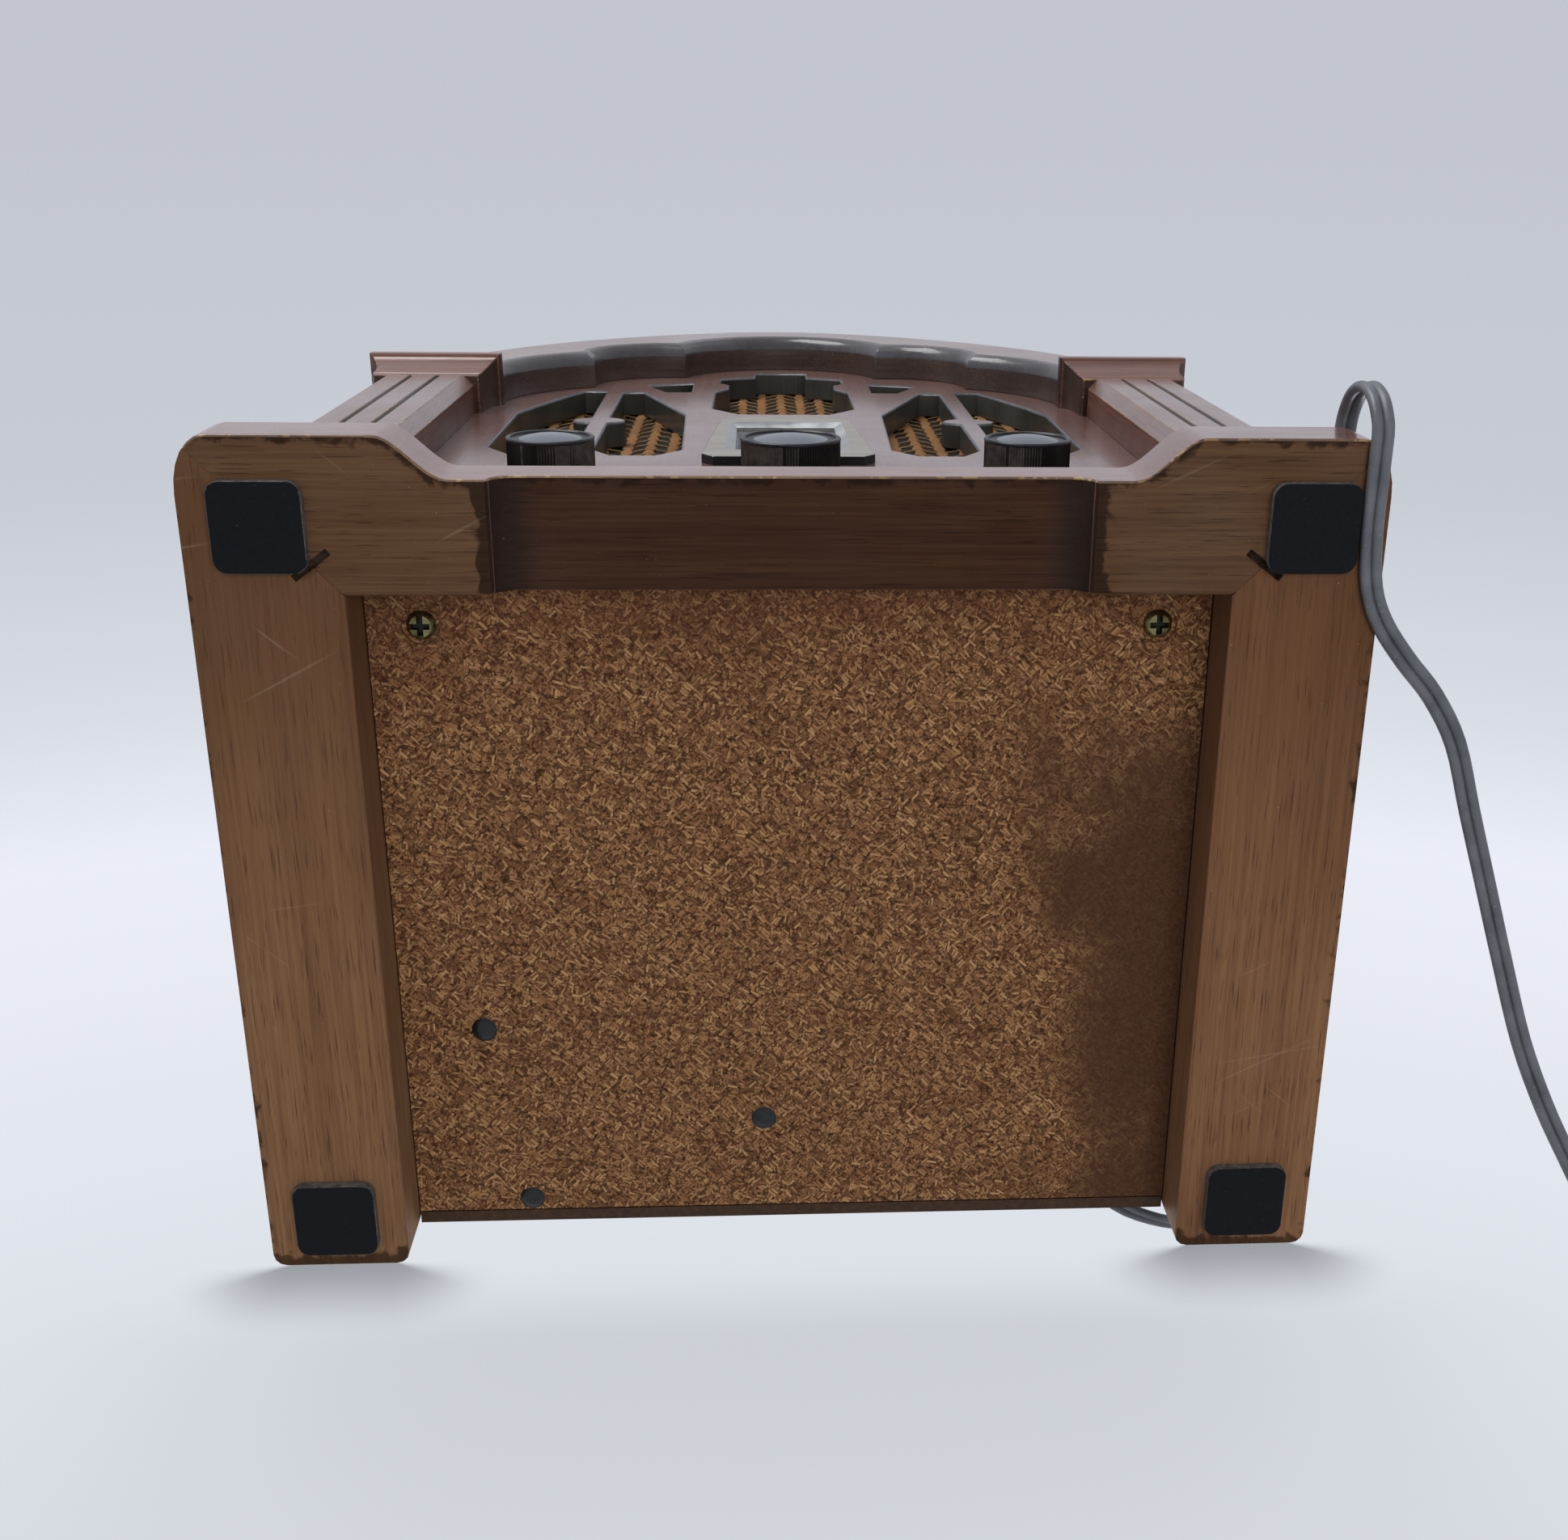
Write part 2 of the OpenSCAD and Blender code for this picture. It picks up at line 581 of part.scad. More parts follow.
module tuning_spindle() color("#b9bcc0") {
    forward(drive_y + drive_t, 0, knob_z) rotate_extrude()
        polygon(concat([[0, 0]], grooved(drive_r, drive_t), [[0, drive_t]]));
    forward(drive_y + drive_t + 1, 0, knob_z)
        disc(shaft_d / 2, drive_y + drive_t + 1 - knob_front - knob_wall);
}
module tuning_bushing() color("#c2a45a") forward(drive_y - 0.5, 0, knob_z) difference() {
    union() {
        disc(bushing_r, drive_y - 0.5 - panel_back - 0.3);
        disc(bushing_r + 2, drive_y - 0.5 - sheet_y);
    }
    translate([0, 0, -1]) disc(shaft_d / 2 + run_fit, drive_y - panel_back + 2);
}
// Belt of thread round both grooves: two arcs joined by tangent lines.
belt_w = 0.8;
belt_a = asin((pulley_r - drive_r) / (dial_z - knob_z));
function belt_loop(r) = concat(
    arc([0, dial_z], pulley_r + r, -belt_a, 180 + belt_a, 36),
    arc([0, knob_z], drive_r + r, 180 + belt_a, 360 - belt_a, 18));
module dial_cord() color("#d8d0b8") forward(drive_y + (drive_t + belt_w) / 2) linear_extrude(belt_w)
    difference() {
        polygon(belt_loop(belt_w));
        polygon(belt_loop(0));
    }

// Knobs: ribbed skirts with a bead, a domed cap let into the front.
knob_back = panel_y - knob_gap;
knob_front = knob_back - knob_l;
knob_wall = 3;
cap_t = 1.2;
bead_r = 0.9;
rib_h = 0.35;
module knob_body(d) {
    ribs = round(d * 2.1);
    difference() {
        union() {
            linear_extrude(knob_l - bead_r) polygon([for (i = [0 : 2 * ribs - 1])
                (d / 2 - rib_h * (i % 2)) * [cos(180 * i / ribs), sin(180 * i / ribs)]]);
            rotate_extrude() polygon(concat([[0, knob_l - 2 * bead_r]],
                arc([d / 2 - bead_r + 0.1, knob_l - bead_r], bead_r, -90, 90, 8), [[0, knob_l]]));
        }
        translate([0, 0, knob_l - cap_t]) disc(d / 2 - 2 * bead_r, cap_t + 1);
        translate([0, 0, -1]) disc(shaft_d / 2, knob_l - knob_wall + 1);
    }
}
module knob_dome(d) {
    r = d / 2 - 2 * bead_r - 0.4;
    rise = 1.3;
    big = (r * r + rise * rise) / (2 * rise);
    translate([0, 0, knob_l - cap_t]) rotate_extrude() polygon(concat([[r, 0], [0, 0]],
        arc([0, 0.5 + rise - big], big, 90, 90 - asin(r / big), 8)));
}
module tuning_knob() color("#1c1b1d") forward(knob_back, 0, knob_z) knob_body(main_knob_d);
module tuning_knob_cap() color("#6f7480") forward(knob_back, 0, knob_z) knob_dome(main_knob_d);
module volume_knob() color("#1c1b1d") forward(knob_back, -knob_x, knob_z) knob_body(knob_d);
module volume_knob_cap() color("#6f7480") forward(knob_back, -knob_x, knob_z) knob_dome(knob_d);
module band_knob() color("#1c1b1d") forward(knob_back, knob_x, knob_z) knob_body(knob_d);
module band_knob_cap() color("#6f7480") forward(knob_back, knob_x, knob_z) knob_dome(knob_d);

// Controls behind the chassis front, each with a threaded bushing.
control_h = 10;
socket_l = 4;
shaft_end = sheet_y + socket_l;
module control_shaft(x) forward(shaft_end - 0.3, x, knob_z)
    disc(shaft_d / 2, shaft_end - 0.3 - knob_front - knob_wall);
module volume_shaft() color("#b9bcc0") control_shaft(-knob_x);
module band_shaft() color("#b9bcc0") control_shaft(knob_x);
module control_bushing() {
    translate([0, 0, control_h]) disc(bushing_r, sheet_y - panel_back - 0.3);
}
module control_bore() translate([0, 0, control_h - socket_l])
    disc(shaft_d / 2 + run_fit, socket_l + sheet_y - panel_back + 1);
lug_w = 3;
module volume_control() color("#8c8f92") forward(sheet_y + control_h, -knob_x, knob_z) difference() {
    union() {
        disc(12, control_h);
        control_bushing();
        for (i = [-1 : 1]) translate([i * 5 - lug_w / 2, -17, 2]) cube([lug_w, 8, 0.8]);
    }
    control_bore();
}
module band_switch() color("#b39a6a") forward(sheet_y + control_h, knob_x, knob_z) difference() {
    union() {
        translate([-12, -11, 0]) cube([24, 22, control_h]);
        control_bushing();
        for (i = [-2 : 2]) translate([i * 4.4 - lug_w / 2, -16, 2]) cube([lug_w, 6, 0.8]);
    }
    control_bore();
}

// Chassis: one bent sheet, front flange up and floor along the board.
chassis_back = cover_y - 1;
chassis_side = 80;
module chassis() color("#a9adaf") difference() {
    union() {
        translate([-chassis_w, baffle_back, deck_z]) cube([2 * chassis_w, sheet_t, chassis_h]);
        translate([0, 0, deck_z]) linear_extrude(sheet_t) polygon([[-chassis_w, baffle_back],
            [chassis_w, baffle_back], [chassis_w, chassis_back], [-chassis_side, chassis_back],
            [-chassis_side, baffle_back + block_d + 2], [-chassis_w, baffle_back + block_d + 2]]);
    }
    for (x = [-knob_x, 0, knob_x]) forward(sheet_y + 1, x, knob_z)
        disc(bushing_r + bushing_fit, sheet_t + 2);
    forward(sheet_y + 1, 0, dial_z) disc(spindle_d / 2 + 1, sheet_t + 2);
    for (p = rivets) translate([p.x, p.y, deck_z - 1]) disc(rivet_pin_r + screw_fit, sheet_t + 2);
}

// Tuning capacitor on an upright bracket behind the pulley.
bracket_y = drive_y + drive_t + 2.5;
bracket_w = 30;
capacitor_w = 24;
floor_z = deck_z + sheet_t;
module capacitor_bracket() color("#a9adaf") difference() {
    union() {
        translate([-bracket_w / 2, bracket_y, floor_z]) cube([bracket_w, sheet_t, dial_z - floor_z + 16]);
        translate([-bracket_w / 2, bracket_y, floor_z]) cube([bracket_w, 12, sheet_t]);
    }
    forward(bracket_y + sheet_t + 1, 0, dial_z) disc(spindle_d / 2 + 0.4, sheet_t + 2);
}
module tuning_capacitor() color("#d9d6cc") difference() {
    translate([-capacitor_w / 2, bracket_y + sheet_t, dial_z - capacitor_w / 2])
        cube([capacitor_w, 15, capacitor_w]);
    forward(drive_y + drive_t + spindle_end + 0.5, 0, dial_z) disc(spindle_d / 2 + run_fit, spindle_end);
}

// Rows from the back cover forwards: transformer, aerial rod, then the circuit board.
core_y = cover_y - 28.3;
rod_y = core_y - 22;

// Circuit board on stand-offs.
pcb_x = 58;
pcb_y0 = bracket_y + 18;
pcb_d = rod_y - 8 - pcb_y0;
pcb_z = floor_z + standoff_h;
standoff_r = 3;
row_1 = 0.2 * pcb_d;
row_2 = 0.54 * pcb_d;
row_3 = 0.8 * pcb_d;
module board_standoffs() color("#c2a45a") for (x = [-pcb_x + 5, pcb_x - 5], y = [5, pcb_d - 5])
    translate([x, pcb_y0 + y, floor_z]) disc(standoff_r, standoff_h);
module circuit_board() color("#8f6b2e") translate([-pcb_x, pcb_y0, pcb_z]) cube([2 * pcb_x, pcb_d, pcb_t]);
module board_parts() color("#3b4250") translate([0, pcb_y0, pcb_z + pcb_t]) {
    for (i = [0 : 3]) translate([-44 + 13 * i, row_1, 0]) cube([9, 9, 13]);
    for (i = [0 : 2]) translate([22 + 13 * i, row_1 + 2, 0]) disc(5, 16);
    translate([-20, row_2, 0]) cube([24, 8, 5]);
    translate([16, row_2 + 2, 0]) cube([30, 3, 22]);
    for (i = [0 : 5]) translate([-48 + 8 * i, row_3, 2]) rotate([-90, 0, 0]) disc(2, 7);
}

// Ferrite rod aerial in two posts.
rod_r = 5;
rod_l = 110;
rod_z = floor_z + 34;
holder_x = 42;
holder_t = 4;
module ferrite_rod() color("#3a3a3c") translate([-rod_l / 2, rod_y, rod_z]) rotate([0, 90, 0])
    disc(rod_r, rod_l);
module rod_holders() color("#e4e0d2") for (x = [-holder_x, holder_x]) difference() {
    translate([x - holder_t / 2, rod_y - 7, floor_z]) cube([holder_t, 14, rod_z - floor_z + 8]);
    translate([x - holder_t, rod_y, rod_z]) rotate([0, 90, 0]) disc(rod_r, 2 * holder_t);
}

// Mains transformer: laminated core round its coil.
core_w = 42;
core_d = 16;
core_h = 35;
core_x = -40;
limb = 7;
module transformer_core() color("#5c5f63") translate([core_x, core_y, floor_z]) difference() {
    translate([-core_w / 2, -core_d / 2, 0]) cube([core_w, core_d, core_h]);
    for (s = [-1, 1]) translate([s * (limb + 6) - 6, -core_d, limb])
        cube([12, 2 * core_d, core_h - 2 * limb]);
}
module transformer_coil() color("#c08a3a") translate([core_x, core_y, floor_z + limb]) difference() {
    translate([-limb - 5.8, -core_d / 2 - 5, 0.2])
        cube([2 * limb + 11.6, core_d + 10, core_h - 2 * limb - 0.4]);
    translate([-limb, -core_d / 2, -1]) cube([2 * limb, core_d, core_h]);
}

// Speaker on the back of the baffle.
speaker_rim = 8;
speaker_screw_r = speaker_r + speaker_rim / 2;
speaker_pin_r = 1.5;
rim_t = 1.5;
basket_back_r = magnet_r - 6;
module speaker_basket() color("#6d7073") forward(baffle_back, 0, speaker_z) mirror([0, 0, 1]) difference() {
    rotate_extrude() polygon([[speaker_r - 3, 0], [speaker_r + speaker_rim, 0],
        [speaker_r + speaker_rim, rim_t], [speaker_r - 1, rim_t], [basket_back_r + 1.2, basket_h],
        [0, basket_h], [0, basket_h - 1.2], [basket_back_r, basket_h - 1.2]]);
    for (a = [45 : 90 : 315]) rotate([0, 0, a]) translate([speaker_screw_r, 0, -1])
        disc(speaker_pin_r + screw_fit, rim_t + 2);
}
module speaker_cone() color("#2b2a2a") forward(baffle_back, 0, speaker_z) mirror([0, 0, 1])
    rotate_extrude() polygon([[speaker_r - 3.3, 0], [speaker_r - 5.5, 0], [12, basket_h - 8],
        [6, basket_h - 5.5], [0, basket_h - 4.8], [0, basket_h - 1.4], [11, basket_h - 5.5],
        [speaker_r - 4.3, 0.8]]);
module speaker_magnet() color("#3a3c40") forward(baffle_back + basket_h, 0, speaker_z)
    mirror([0, 0, 1]) disc(magnet_r, 13);
module speaker_screws() color("#c9ccd0") for (a = [45 : 90 : 315])
    forward(baffle_back + rim_t, speaker_screw_r * cos(a), speaker_z + speaker_screw_r * sin(a))
        fastener(2.8, 1.3, speaker_pin_r, rim_t + 2.5);

// Back cover with vents, screwed to the edge of the bent wall.
cover_edge = 1;
vent_w = 3;
vent_h = 26;
vent_rows = [150, 190, 230];
vent_step = 10;
exit_x = 84;
exit_z = 96;
relief_neck_r = 4;
module back_cover() color("#3a3029") difference() {
    forward(cover_y + cover_t) linear_extrude(cover_t) union() {
        polygon(arch_outline(cover_edge, base_z + board_gap));
        translate([board_gap - inner_w, board_z]) square([2 * (inner_w - board_gap), board_drop + 2]);
    }
    for (z = vent_rows, i = [-5 : 5]) if (abs(i) < 6 - 1.4 * floor((z - 150) / 40))
        translate([i * vent_step - vent_w / 2, cover_y - 1, z]) cube([vent_w, cover_t + 2, vent_h]);
    for (p = back_screw_spots) forward(cover_y + cover_t + 1, p.x, p.y)
        disc(back_screw_r + screw_fit, cover_t + 2);
    forward(cover_y + cover_t + 1, exit_x, exit_z) disc(relief_neck_r, cover_t + 2);
}
module back_screws() color("#b5a45a") for (p = back_screw_spots)
    forward(cover_y + cover_t, p.x, p.y)
        fastener(back_head_r, screw_head_t, back_screw_r, cover_t + back_screw_l);

// Lead: hand-chosen route from the cover, along the ledge, over the front corner and away.
lead_z = lead_t / 2;
relief_l = 20;
route_in = [[exit_x, cover_y + cover_t + relief_l, exit_z], [87, 130, 93], [96, 138, 84],
    [107, 136, 71], [114.6, 127, 56], [118.4, 115, 42], [119.4, 104, 30.6], [119.6, 95, 24.9],
    [119.6, 87, 23], [119.6, 76, 22.9], [119.6, 52, 22.9], [119.6, 28, 22.9], [119.6, 0, 22.9],
    [119.6, -28, 22.9], [119.6, -56, 22.9], [119.8, -80, 22.9], [120.2, -96, 23.1]];
route_hook = [[120.4, -102, 21.5], [120.6, -106, 17.6], [120.8, -107.4, 12],
    [121, -106, 6.6], [121.1, -102.8, 2.8]];
route_out = [[121.2, -99, 1.2], [121.2, -90, 1.2], [121.3, -78, 1.2], [122.6, -67, 1.2],
    [126, -59, 1.2], [132, -51, 1.2], [139, -43, 1.2], [145.6, -32, 1.2], [151, -16, 1.2],
    [157.6, 3, 1.2], [163.5, 20, 1.2], [171.5, 42, 1.2], [180, 60, 1.2], [189, 76, 1.2],
    [197, 90, 1.2], [201.5, 101, 1.2]];
coil_c = [238, 112];
route = concat(route_in, route_hook, route_out, [[coil_c.x - coil_r, coil_c.y, lead_z]]);
hook_from = len(route_in);
hook_to = hook_from + len(route_hook);

// Catmull-Rom curve through the route; the ends run straight.
function at(i) = route[max(0, min(len(route) - 1, i))];
function curve(i, u) =
    let (a = i == 0 ? 2 * at(0) - at(1) : at(i - 1), b = at(i), c = at(i + 1), d = at(i + 2))
    0.5 * (2 * b + (c - a) * u + (2 * a - 5 * b + 4 * c - d) * u * u
        + (3 * b - a - 3 * c + d) * u * u * u);
function floored(p) = [p.x, p.y, max(p.z, lead_z)];
run_points = concat([for (i = [0 : len(route) - 2], u = [0, 0.5]) floored(curve(i, u))],
    [at(len(route) - 1)]);
run_ends = [[0, 1, 0], [0, 1, 0]];
function unit(v) = v / norm(v);
function run_dir(i) = i == 0 ? run_ends[0] : i == len(run_points) - 1 ? run_ends[1]
    : unit(run_points[i + 1] - run_points[i - 1]);
function run_side(i) = let (t = run_dir(i))
    i < 2 * hook_from - 1 ? unit([-t.y, t.x, 0]) : i < 2 * hook_to + 1 ? [1, 0, 0] : unit([t.y, -t.x, 0]);
// Flat section: pointed sides, level faces, and with 8 points a seam along both faces.
seam = 0.7;
function ring(p, t, s, sides) = let (n = cross(s, t)) [for (k = [0 : sides - 1])
    let (a = 360 * k / sides) p + s * lead_w / 2 * cos(a)
        + n * lead_t / 2 * (abs(sin(a)) < 0.01 ? 0 : sign(sin(a))) * (abs(cos(a)) < 0.01 ? seam : 1)];
module lead_run() color("#6b6f78") loft([for (i = [0 : len(run_points) - 1])
    ring(run_points[i], run_dir(i), run_side(i), 8)]);

// Coil: spirals in along the floor, climbs one layer in half a turn and spirals out again.
coil_rings = 24;
coil_turns = coil_loops + 0.5;
coil_n = round(coil_turns * coil_rings);
coil_tail = 32;
function coil_in(u) = min(u, coil_turns - u);
function coil_radius(u) = coil_r - coil_step * coil_in(u);
function coil_lift(u) = let (v = (u - coil_turns / 2) / 0.5 + 0.5) coil_rise * smooth(max(0, min(1, v)));
function coil_point(u) = let (a = 180 - 360 * u, r = coil_radius(u))
    [coil_c.x + r * cos(a), coil_c.y + r * sin(a), lead_z + coil_lift(u)];
coil_points = concat([for (i = [0 : coil_n]) coil_point(i / coil_rings)],
    [coil_point(coil_turns) - [0, coil_tail / 2, 0], coil_point(coil_turns) - [0, coil_tail, 0]]);
function coil_dir(i) = i == 0 ? [0, 1, 0] : i >= coil_n ? [0, -1, 0]
    : unit(coil_points[i + 1] - coil_points[i - 1]);
module lead_coil() color("#5c5f66") loft([for (i = [0 : len(coil_points) - 1])
    let (t = coil_dir(i)) ring(coil_points[i], t, unit([t.y, -t.x, 0]), 6)]);

// Least gap of the coil to itself: side by side within a layer, and between the layers.
coil_gap = min(coil_step - lead_w, coil_rise - lead_t);
function path_length(p) = len(p) < 2 ? 0 : norm(p[1] - p[0]) + path_length(tail(p));
echo(coil_gap = coil_gap, run_length = path_length(run_points), coil_length = path_length(coil_points));

module strain_relief() color("#26272a") forward(cover_y + cover_t + relief_l, exit_x, exit_z) difference() {
    rotate_extrude() polygon([[0, 0], [3.1, 0], [3.4, relief_l * 0.5], [4.6, relief_l - 3],
        [7, relief_l - 3], [7, relief_l], [relief_neck_r, relief_l], [relief_neck_r, relief_l + cover_t],
        [5.2, relief_l + cover_t], [5.2, relief_l + cover_t + 2], [0, relief_l + cover_t + 2]]);
    for (i = [0 : 3]) translate([-5, (i % 2) * 7 - 5.2, 3.2 + 3.2 * i]) cube([10, 3.4, 1.2]);
}

// Two-blade plug at the end of the lead.
plug_p = coil_points[len(coil_points) - 1];
plug_w = 22;
plug_l = 20;
plug_h = 2 * plug_p.z;
blade_w = 6.3;
blade_t = 1.5;
blade_l = 16;
blade_gap = 12.7;
module power_plug() color("#2c2d30") translate([plug_p.x, plug_p.y, 0]) difference() {
    linear_extrude(plug_h) polygon([[-4, 0], [4, 0], [7, -6], [plug_w / 2, -9], [plug_w / 2, -plug_l],
        [-plug_w / 2, -plug_l], [-plug_w / 2, -9], [-7, -6]]);
    both() translate([blade_gap / 2 - blade_t / 2, 1 - plug_l, plug_h / 2 - blade_w / 2])
        mirror([0, 1, 0]) cube([blade_t, 3, blade_w]);
}
module plug_blades() color("#c8b070") translate([plug_p.x, plug_p.y, 0]) both()
    translate([blade_gap / 2 - blade_t / 2, 1 - plug_l, plug_h / 2 - blade_w / 2])
        mirror([0, 1, 0]) cube([blade_t, blade_l, blade_w]);

base_front_board();
base_rail_left();
base_rail_right();
foot_pads();
bottom_board();
bottom_screws();
bottom_rivets();
glue_blocks();
column_left();
column_right();
capital_left();
capital_right();
arch_frame();
fret_panel();
cabinet_shell();
grille_cloth();
baffle_board();
dial_escutcheon();
dial_window();
dial_scale();
dial_pointer();
dial_pulley();
dial_cord();
tuning_knob();
tuning_knob_cap();
tuning_spindle();
tuning_bushing();
volume_knob();
volume_knob_cap();
volume_shaft();
volume_control();
band_knob();
band_knob_cap();
band_shaft();
band_switch();
tuning_capacitor();
capacitor_bracket();
chassis();
circuit_board();
board_parts();
board_standoffs();
ferrite_rod();
rod_holders();
transformer_core();
transformer_coil();
speaker_basket();
speaker_cone();
speaker_magnet();
speaker_screws();
back_cover();
back_screws();
strain_relief();
lead_run();
lead_coil();
power_plug();
plug_blades();
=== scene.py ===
# Arched table radio: the looks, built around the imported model. Sizes are in metres.
import json
import math

import bmesh
import bpy
from mathutils import Matrix, Vector, noise


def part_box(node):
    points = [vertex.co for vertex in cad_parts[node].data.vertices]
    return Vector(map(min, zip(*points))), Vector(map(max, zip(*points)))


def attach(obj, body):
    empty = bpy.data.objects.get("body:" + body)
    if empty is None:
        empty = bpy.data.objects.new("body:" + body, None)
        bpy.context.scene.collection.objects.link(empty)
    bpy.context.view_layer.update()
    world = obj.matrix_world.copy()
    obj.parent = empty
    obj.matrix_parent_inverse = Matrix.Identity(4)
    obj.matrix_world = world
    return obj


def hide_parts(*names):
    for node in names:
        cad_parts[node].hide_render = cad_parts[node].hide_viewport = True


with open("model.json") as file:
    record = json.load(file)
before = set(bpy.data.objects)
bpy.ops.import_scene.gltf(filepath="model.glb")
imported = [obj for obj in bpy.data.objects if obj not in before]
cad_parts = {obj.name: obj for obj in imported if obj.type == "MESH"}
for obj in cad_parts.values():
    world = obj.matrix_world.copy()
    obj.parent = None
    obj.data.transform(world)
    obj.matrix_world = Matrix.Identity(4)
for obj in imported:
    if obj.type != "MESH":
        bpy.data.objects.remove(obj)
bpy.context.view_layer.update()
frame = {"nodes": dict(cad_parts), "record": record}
NODES = frame["nodes"]
BODIES = frame["record"]["behaviour"]["bodies"]
BODY_OF = {node: body for body, nodes in BODIES.items() for node in nodes}
SLOT_OF = {part["node"]: part["material_slot"] for part in frame["record"]["subparts"]}
MM = 0.001


# Camera, solved from the photograph: its place, its three directions and its lens.
PHOTO_W, PHOTO_H = 1939, 1904
FOCAL_PX = 2211.345
PRINCIPAL_PX = (1075.32, 1059.20)
CAMERA_AT = (-0.00680, -0.15358, -0.36652)
CAMERA_RIGHT = Vector((0.99825, -0.01270, -0.05770))
CAMERA_DOWN = Vector((-0.00961, 0.92881, -0.37077))
CAMERA_FORWARD = Vector((0.05829, 0.37068, 0.92707))
SENSOR = 36


def make_camera():
    data = bpy.data.cameras.new("camera")
    data.sensor_width = SENSOR
    data.lens = FOCAL_PX * SENSOR / PHOTO_W
    data.shift_x = (PHOTO_W / 2 - PRINCIPAL_PX[0]) / PHOTO_W
    data.shift_y = (PRINCIPAL_PX[1] - PHOTO_H / 2) / PHOTO_W
    data.clip_start = 0.01
    camera = bpy.data.objects.new("camera", data)
    turn = Matrix((CAMERA_RIGHT, -CAMERA_DOWN, -CAMERA_FORWARD)).transposed().to_4x4()
    camera.matrix_world = Matrix.Translation(CAMERA_AT) @ turn
    bpy.context.scene.collection.objects.link(camera)
    bpy.context.scene.camera = camera


def paint(code):
    """A colour written as it shows on a screen, turned into light."""
    def channel(two):
        value = int(two, 16) / 255
        return value / 12.92 if value <= 0.04045 else ((value + 0.055) / 1.055) ** 2.4

    return (channel(code[1:3]), channel(code[3:5]), channel(code[5:7]), 1.0)


class Graph:
    """Short ways to add and join the nodes of a material or of the world."""

    def __init__(self, tree):
        self.nodes = tree.nodes
        self.links = tree.links

    def add(self, kind, **inputs):
        node = self.nodes.new("ShaderNode" + kind)
        for name, value in inputs.items():
            self.feed(node.inputs[name.replace("_", " ")], value)
        return node

    def feed(self, socket, value):
        if isinstance(value, bpy.types.NodeSocket):
            self.links.new(value, socket)
        else:
            socket.default_value = paint(value) if isinstance(value, str) else value

    def ramp(self, value, *stops):
        """Colours or plain levels along a value; the stops stand in rising order."""
        node = self.add("ValToRGB", Fac=value)
        ends = node.color_ramp.elements
        for place, _ in stops[2:]:
            ends.new(place)
        for end, (place, shade) in zip(ends, stops):
            end.position = place
            end.color = paint(shade) if isinstance(shade, str) else (shade, shade, shade, 1)
        return node.outputs["Color"]

    def tones(self, value, first, second):
        """The first colour or level below 0.3, the second above 0.7, and blended between."""
        return self.ramp(value, (0.3, first), (0.7, second))

    def step(self, value, low, high):
        """0 below low, 1 above high, and smooth between; low may be the larger."""
        node = self.add("MapRange", Value=value, From_Min=low, From_Max=high)
        node.interpolation_type = "SMOOTHSTEP"
        return node.outputs["Result"]

    def mix(self, share, first, second):
        node = self.nodes.new("ShaderNodeMix")
        node.data_type = "RGBA"
        self.feed(node.inputs["Factor"], share)
        self.feed(node.inputs[6], first)
        self.feed(node.inputs[7], second)
        return node.outputs[2]

    def layer(self, colour, second, share, value, low, high):
        """Lays a second colour over the first where a value goes from low to high."""
        return self.mix(self.times(self.step(value, low, high), share), colour, second)

    def math(self, how, first, second=0.0):
        node = self.nodes.new("ShaderNodeMath")
        node.operation = how
        self.feed(node.inputs[0], first)
        self.feed(node.inputs[1], second)
        return node.outputs[0]

    def times(self, *values):
        result = values[0]
        for value in values[1:]:
            result = self.math("MULTIPLY", result, value)
        return result

    def mix_shaders(self, share, first, second, output):
        """Joins two shaders into the output; share is the second one's."""
        node = self.add("MixShader", Fac=share)
        self.links.new(first.outputs[0], node.inputs[1])
        self.links.new(second.outputs[0], node.inputs[2])
        self.links.new(node.outputs[0], output.inputs["Surface"])


class Finish(Graph):
    """A material whose patterns lie on the piece's own coordinates."""

    def __init__(self, name, colour="#808080", roughness=0.5, metallic=0.0, **sockets):
        self.material = bpy.data.materials.new(name)
        self.material.use_nodes = True
        super().__init__(self.material.node_tree)
        self.shader = self.nodes["Principled BSDF"]
        sockets.update(Base_Color=colour, Roughness=roughness, Metallic=metallic)
        for socket, value in sockets.items():
            self.feed(self.shader.inputs[socket.replace("_", " ")], value)
        self.here = self.add("TexCoord").outputs["Object"]

    def place(self, stretch=(1, 1, 1), turn=(0, 0, 0), shift=(0, 0, 0), start=None):
        start = start or self.here
        if any(turn):
            angles = [math.radians(a) for a in turn]
            start = self.add("Mapping", Vector=start, Rotation=angles).outputs["Vector"]
        return self.add("Mapping", Vector=start, Scale=stretch, Location=shift).outputs["Vector"]

    def grain(self, scale, detail=4.0, distortion=0.0, stretch=(1, 1, 1), turn=(0, 0, 0),
              shift=(0, 0, 0)):
        place = self.place(stretch, turn, shift)
        return self.add("TexNoise", Vector=place, Scale=scale, Detail=detail,
                        Distortion=distortion).outputs["Fac"]

    def along(self, axis):
        """The place on the piece along axis 0, 1 or 2."""
        return self.add("SeparateXYZ", Vector=self.here).outputs[axis]

    def attribute(self, name):
        node = self.nodes.new("ShaderNodeAttribute")
        node.attribute_name = name
        return node.outputs["Fac"]

    def coloured(self, colour):
        self.feed(self.shader.inputs["Base Color"], colour)

    def rough(self, value):
        self.feed(self.shader.inputs["Roughness"], value)

    def bump(self, height, depth):
        node = self.add("Bump", Height=height, Distance=depth, Strength=1.0)
        self.links.new(node.outputs["Normal"], self.shader.inputs["Normal"])


PORE_STAIN, RIM_STAIN, END_SHADE = "#1f140e", "#1d130d", "#231c1d"
BARE_DARK, SCRATCH_TONE, SPECK_TONE = "#6f5030", "#b09a84", "#b8ab9a"
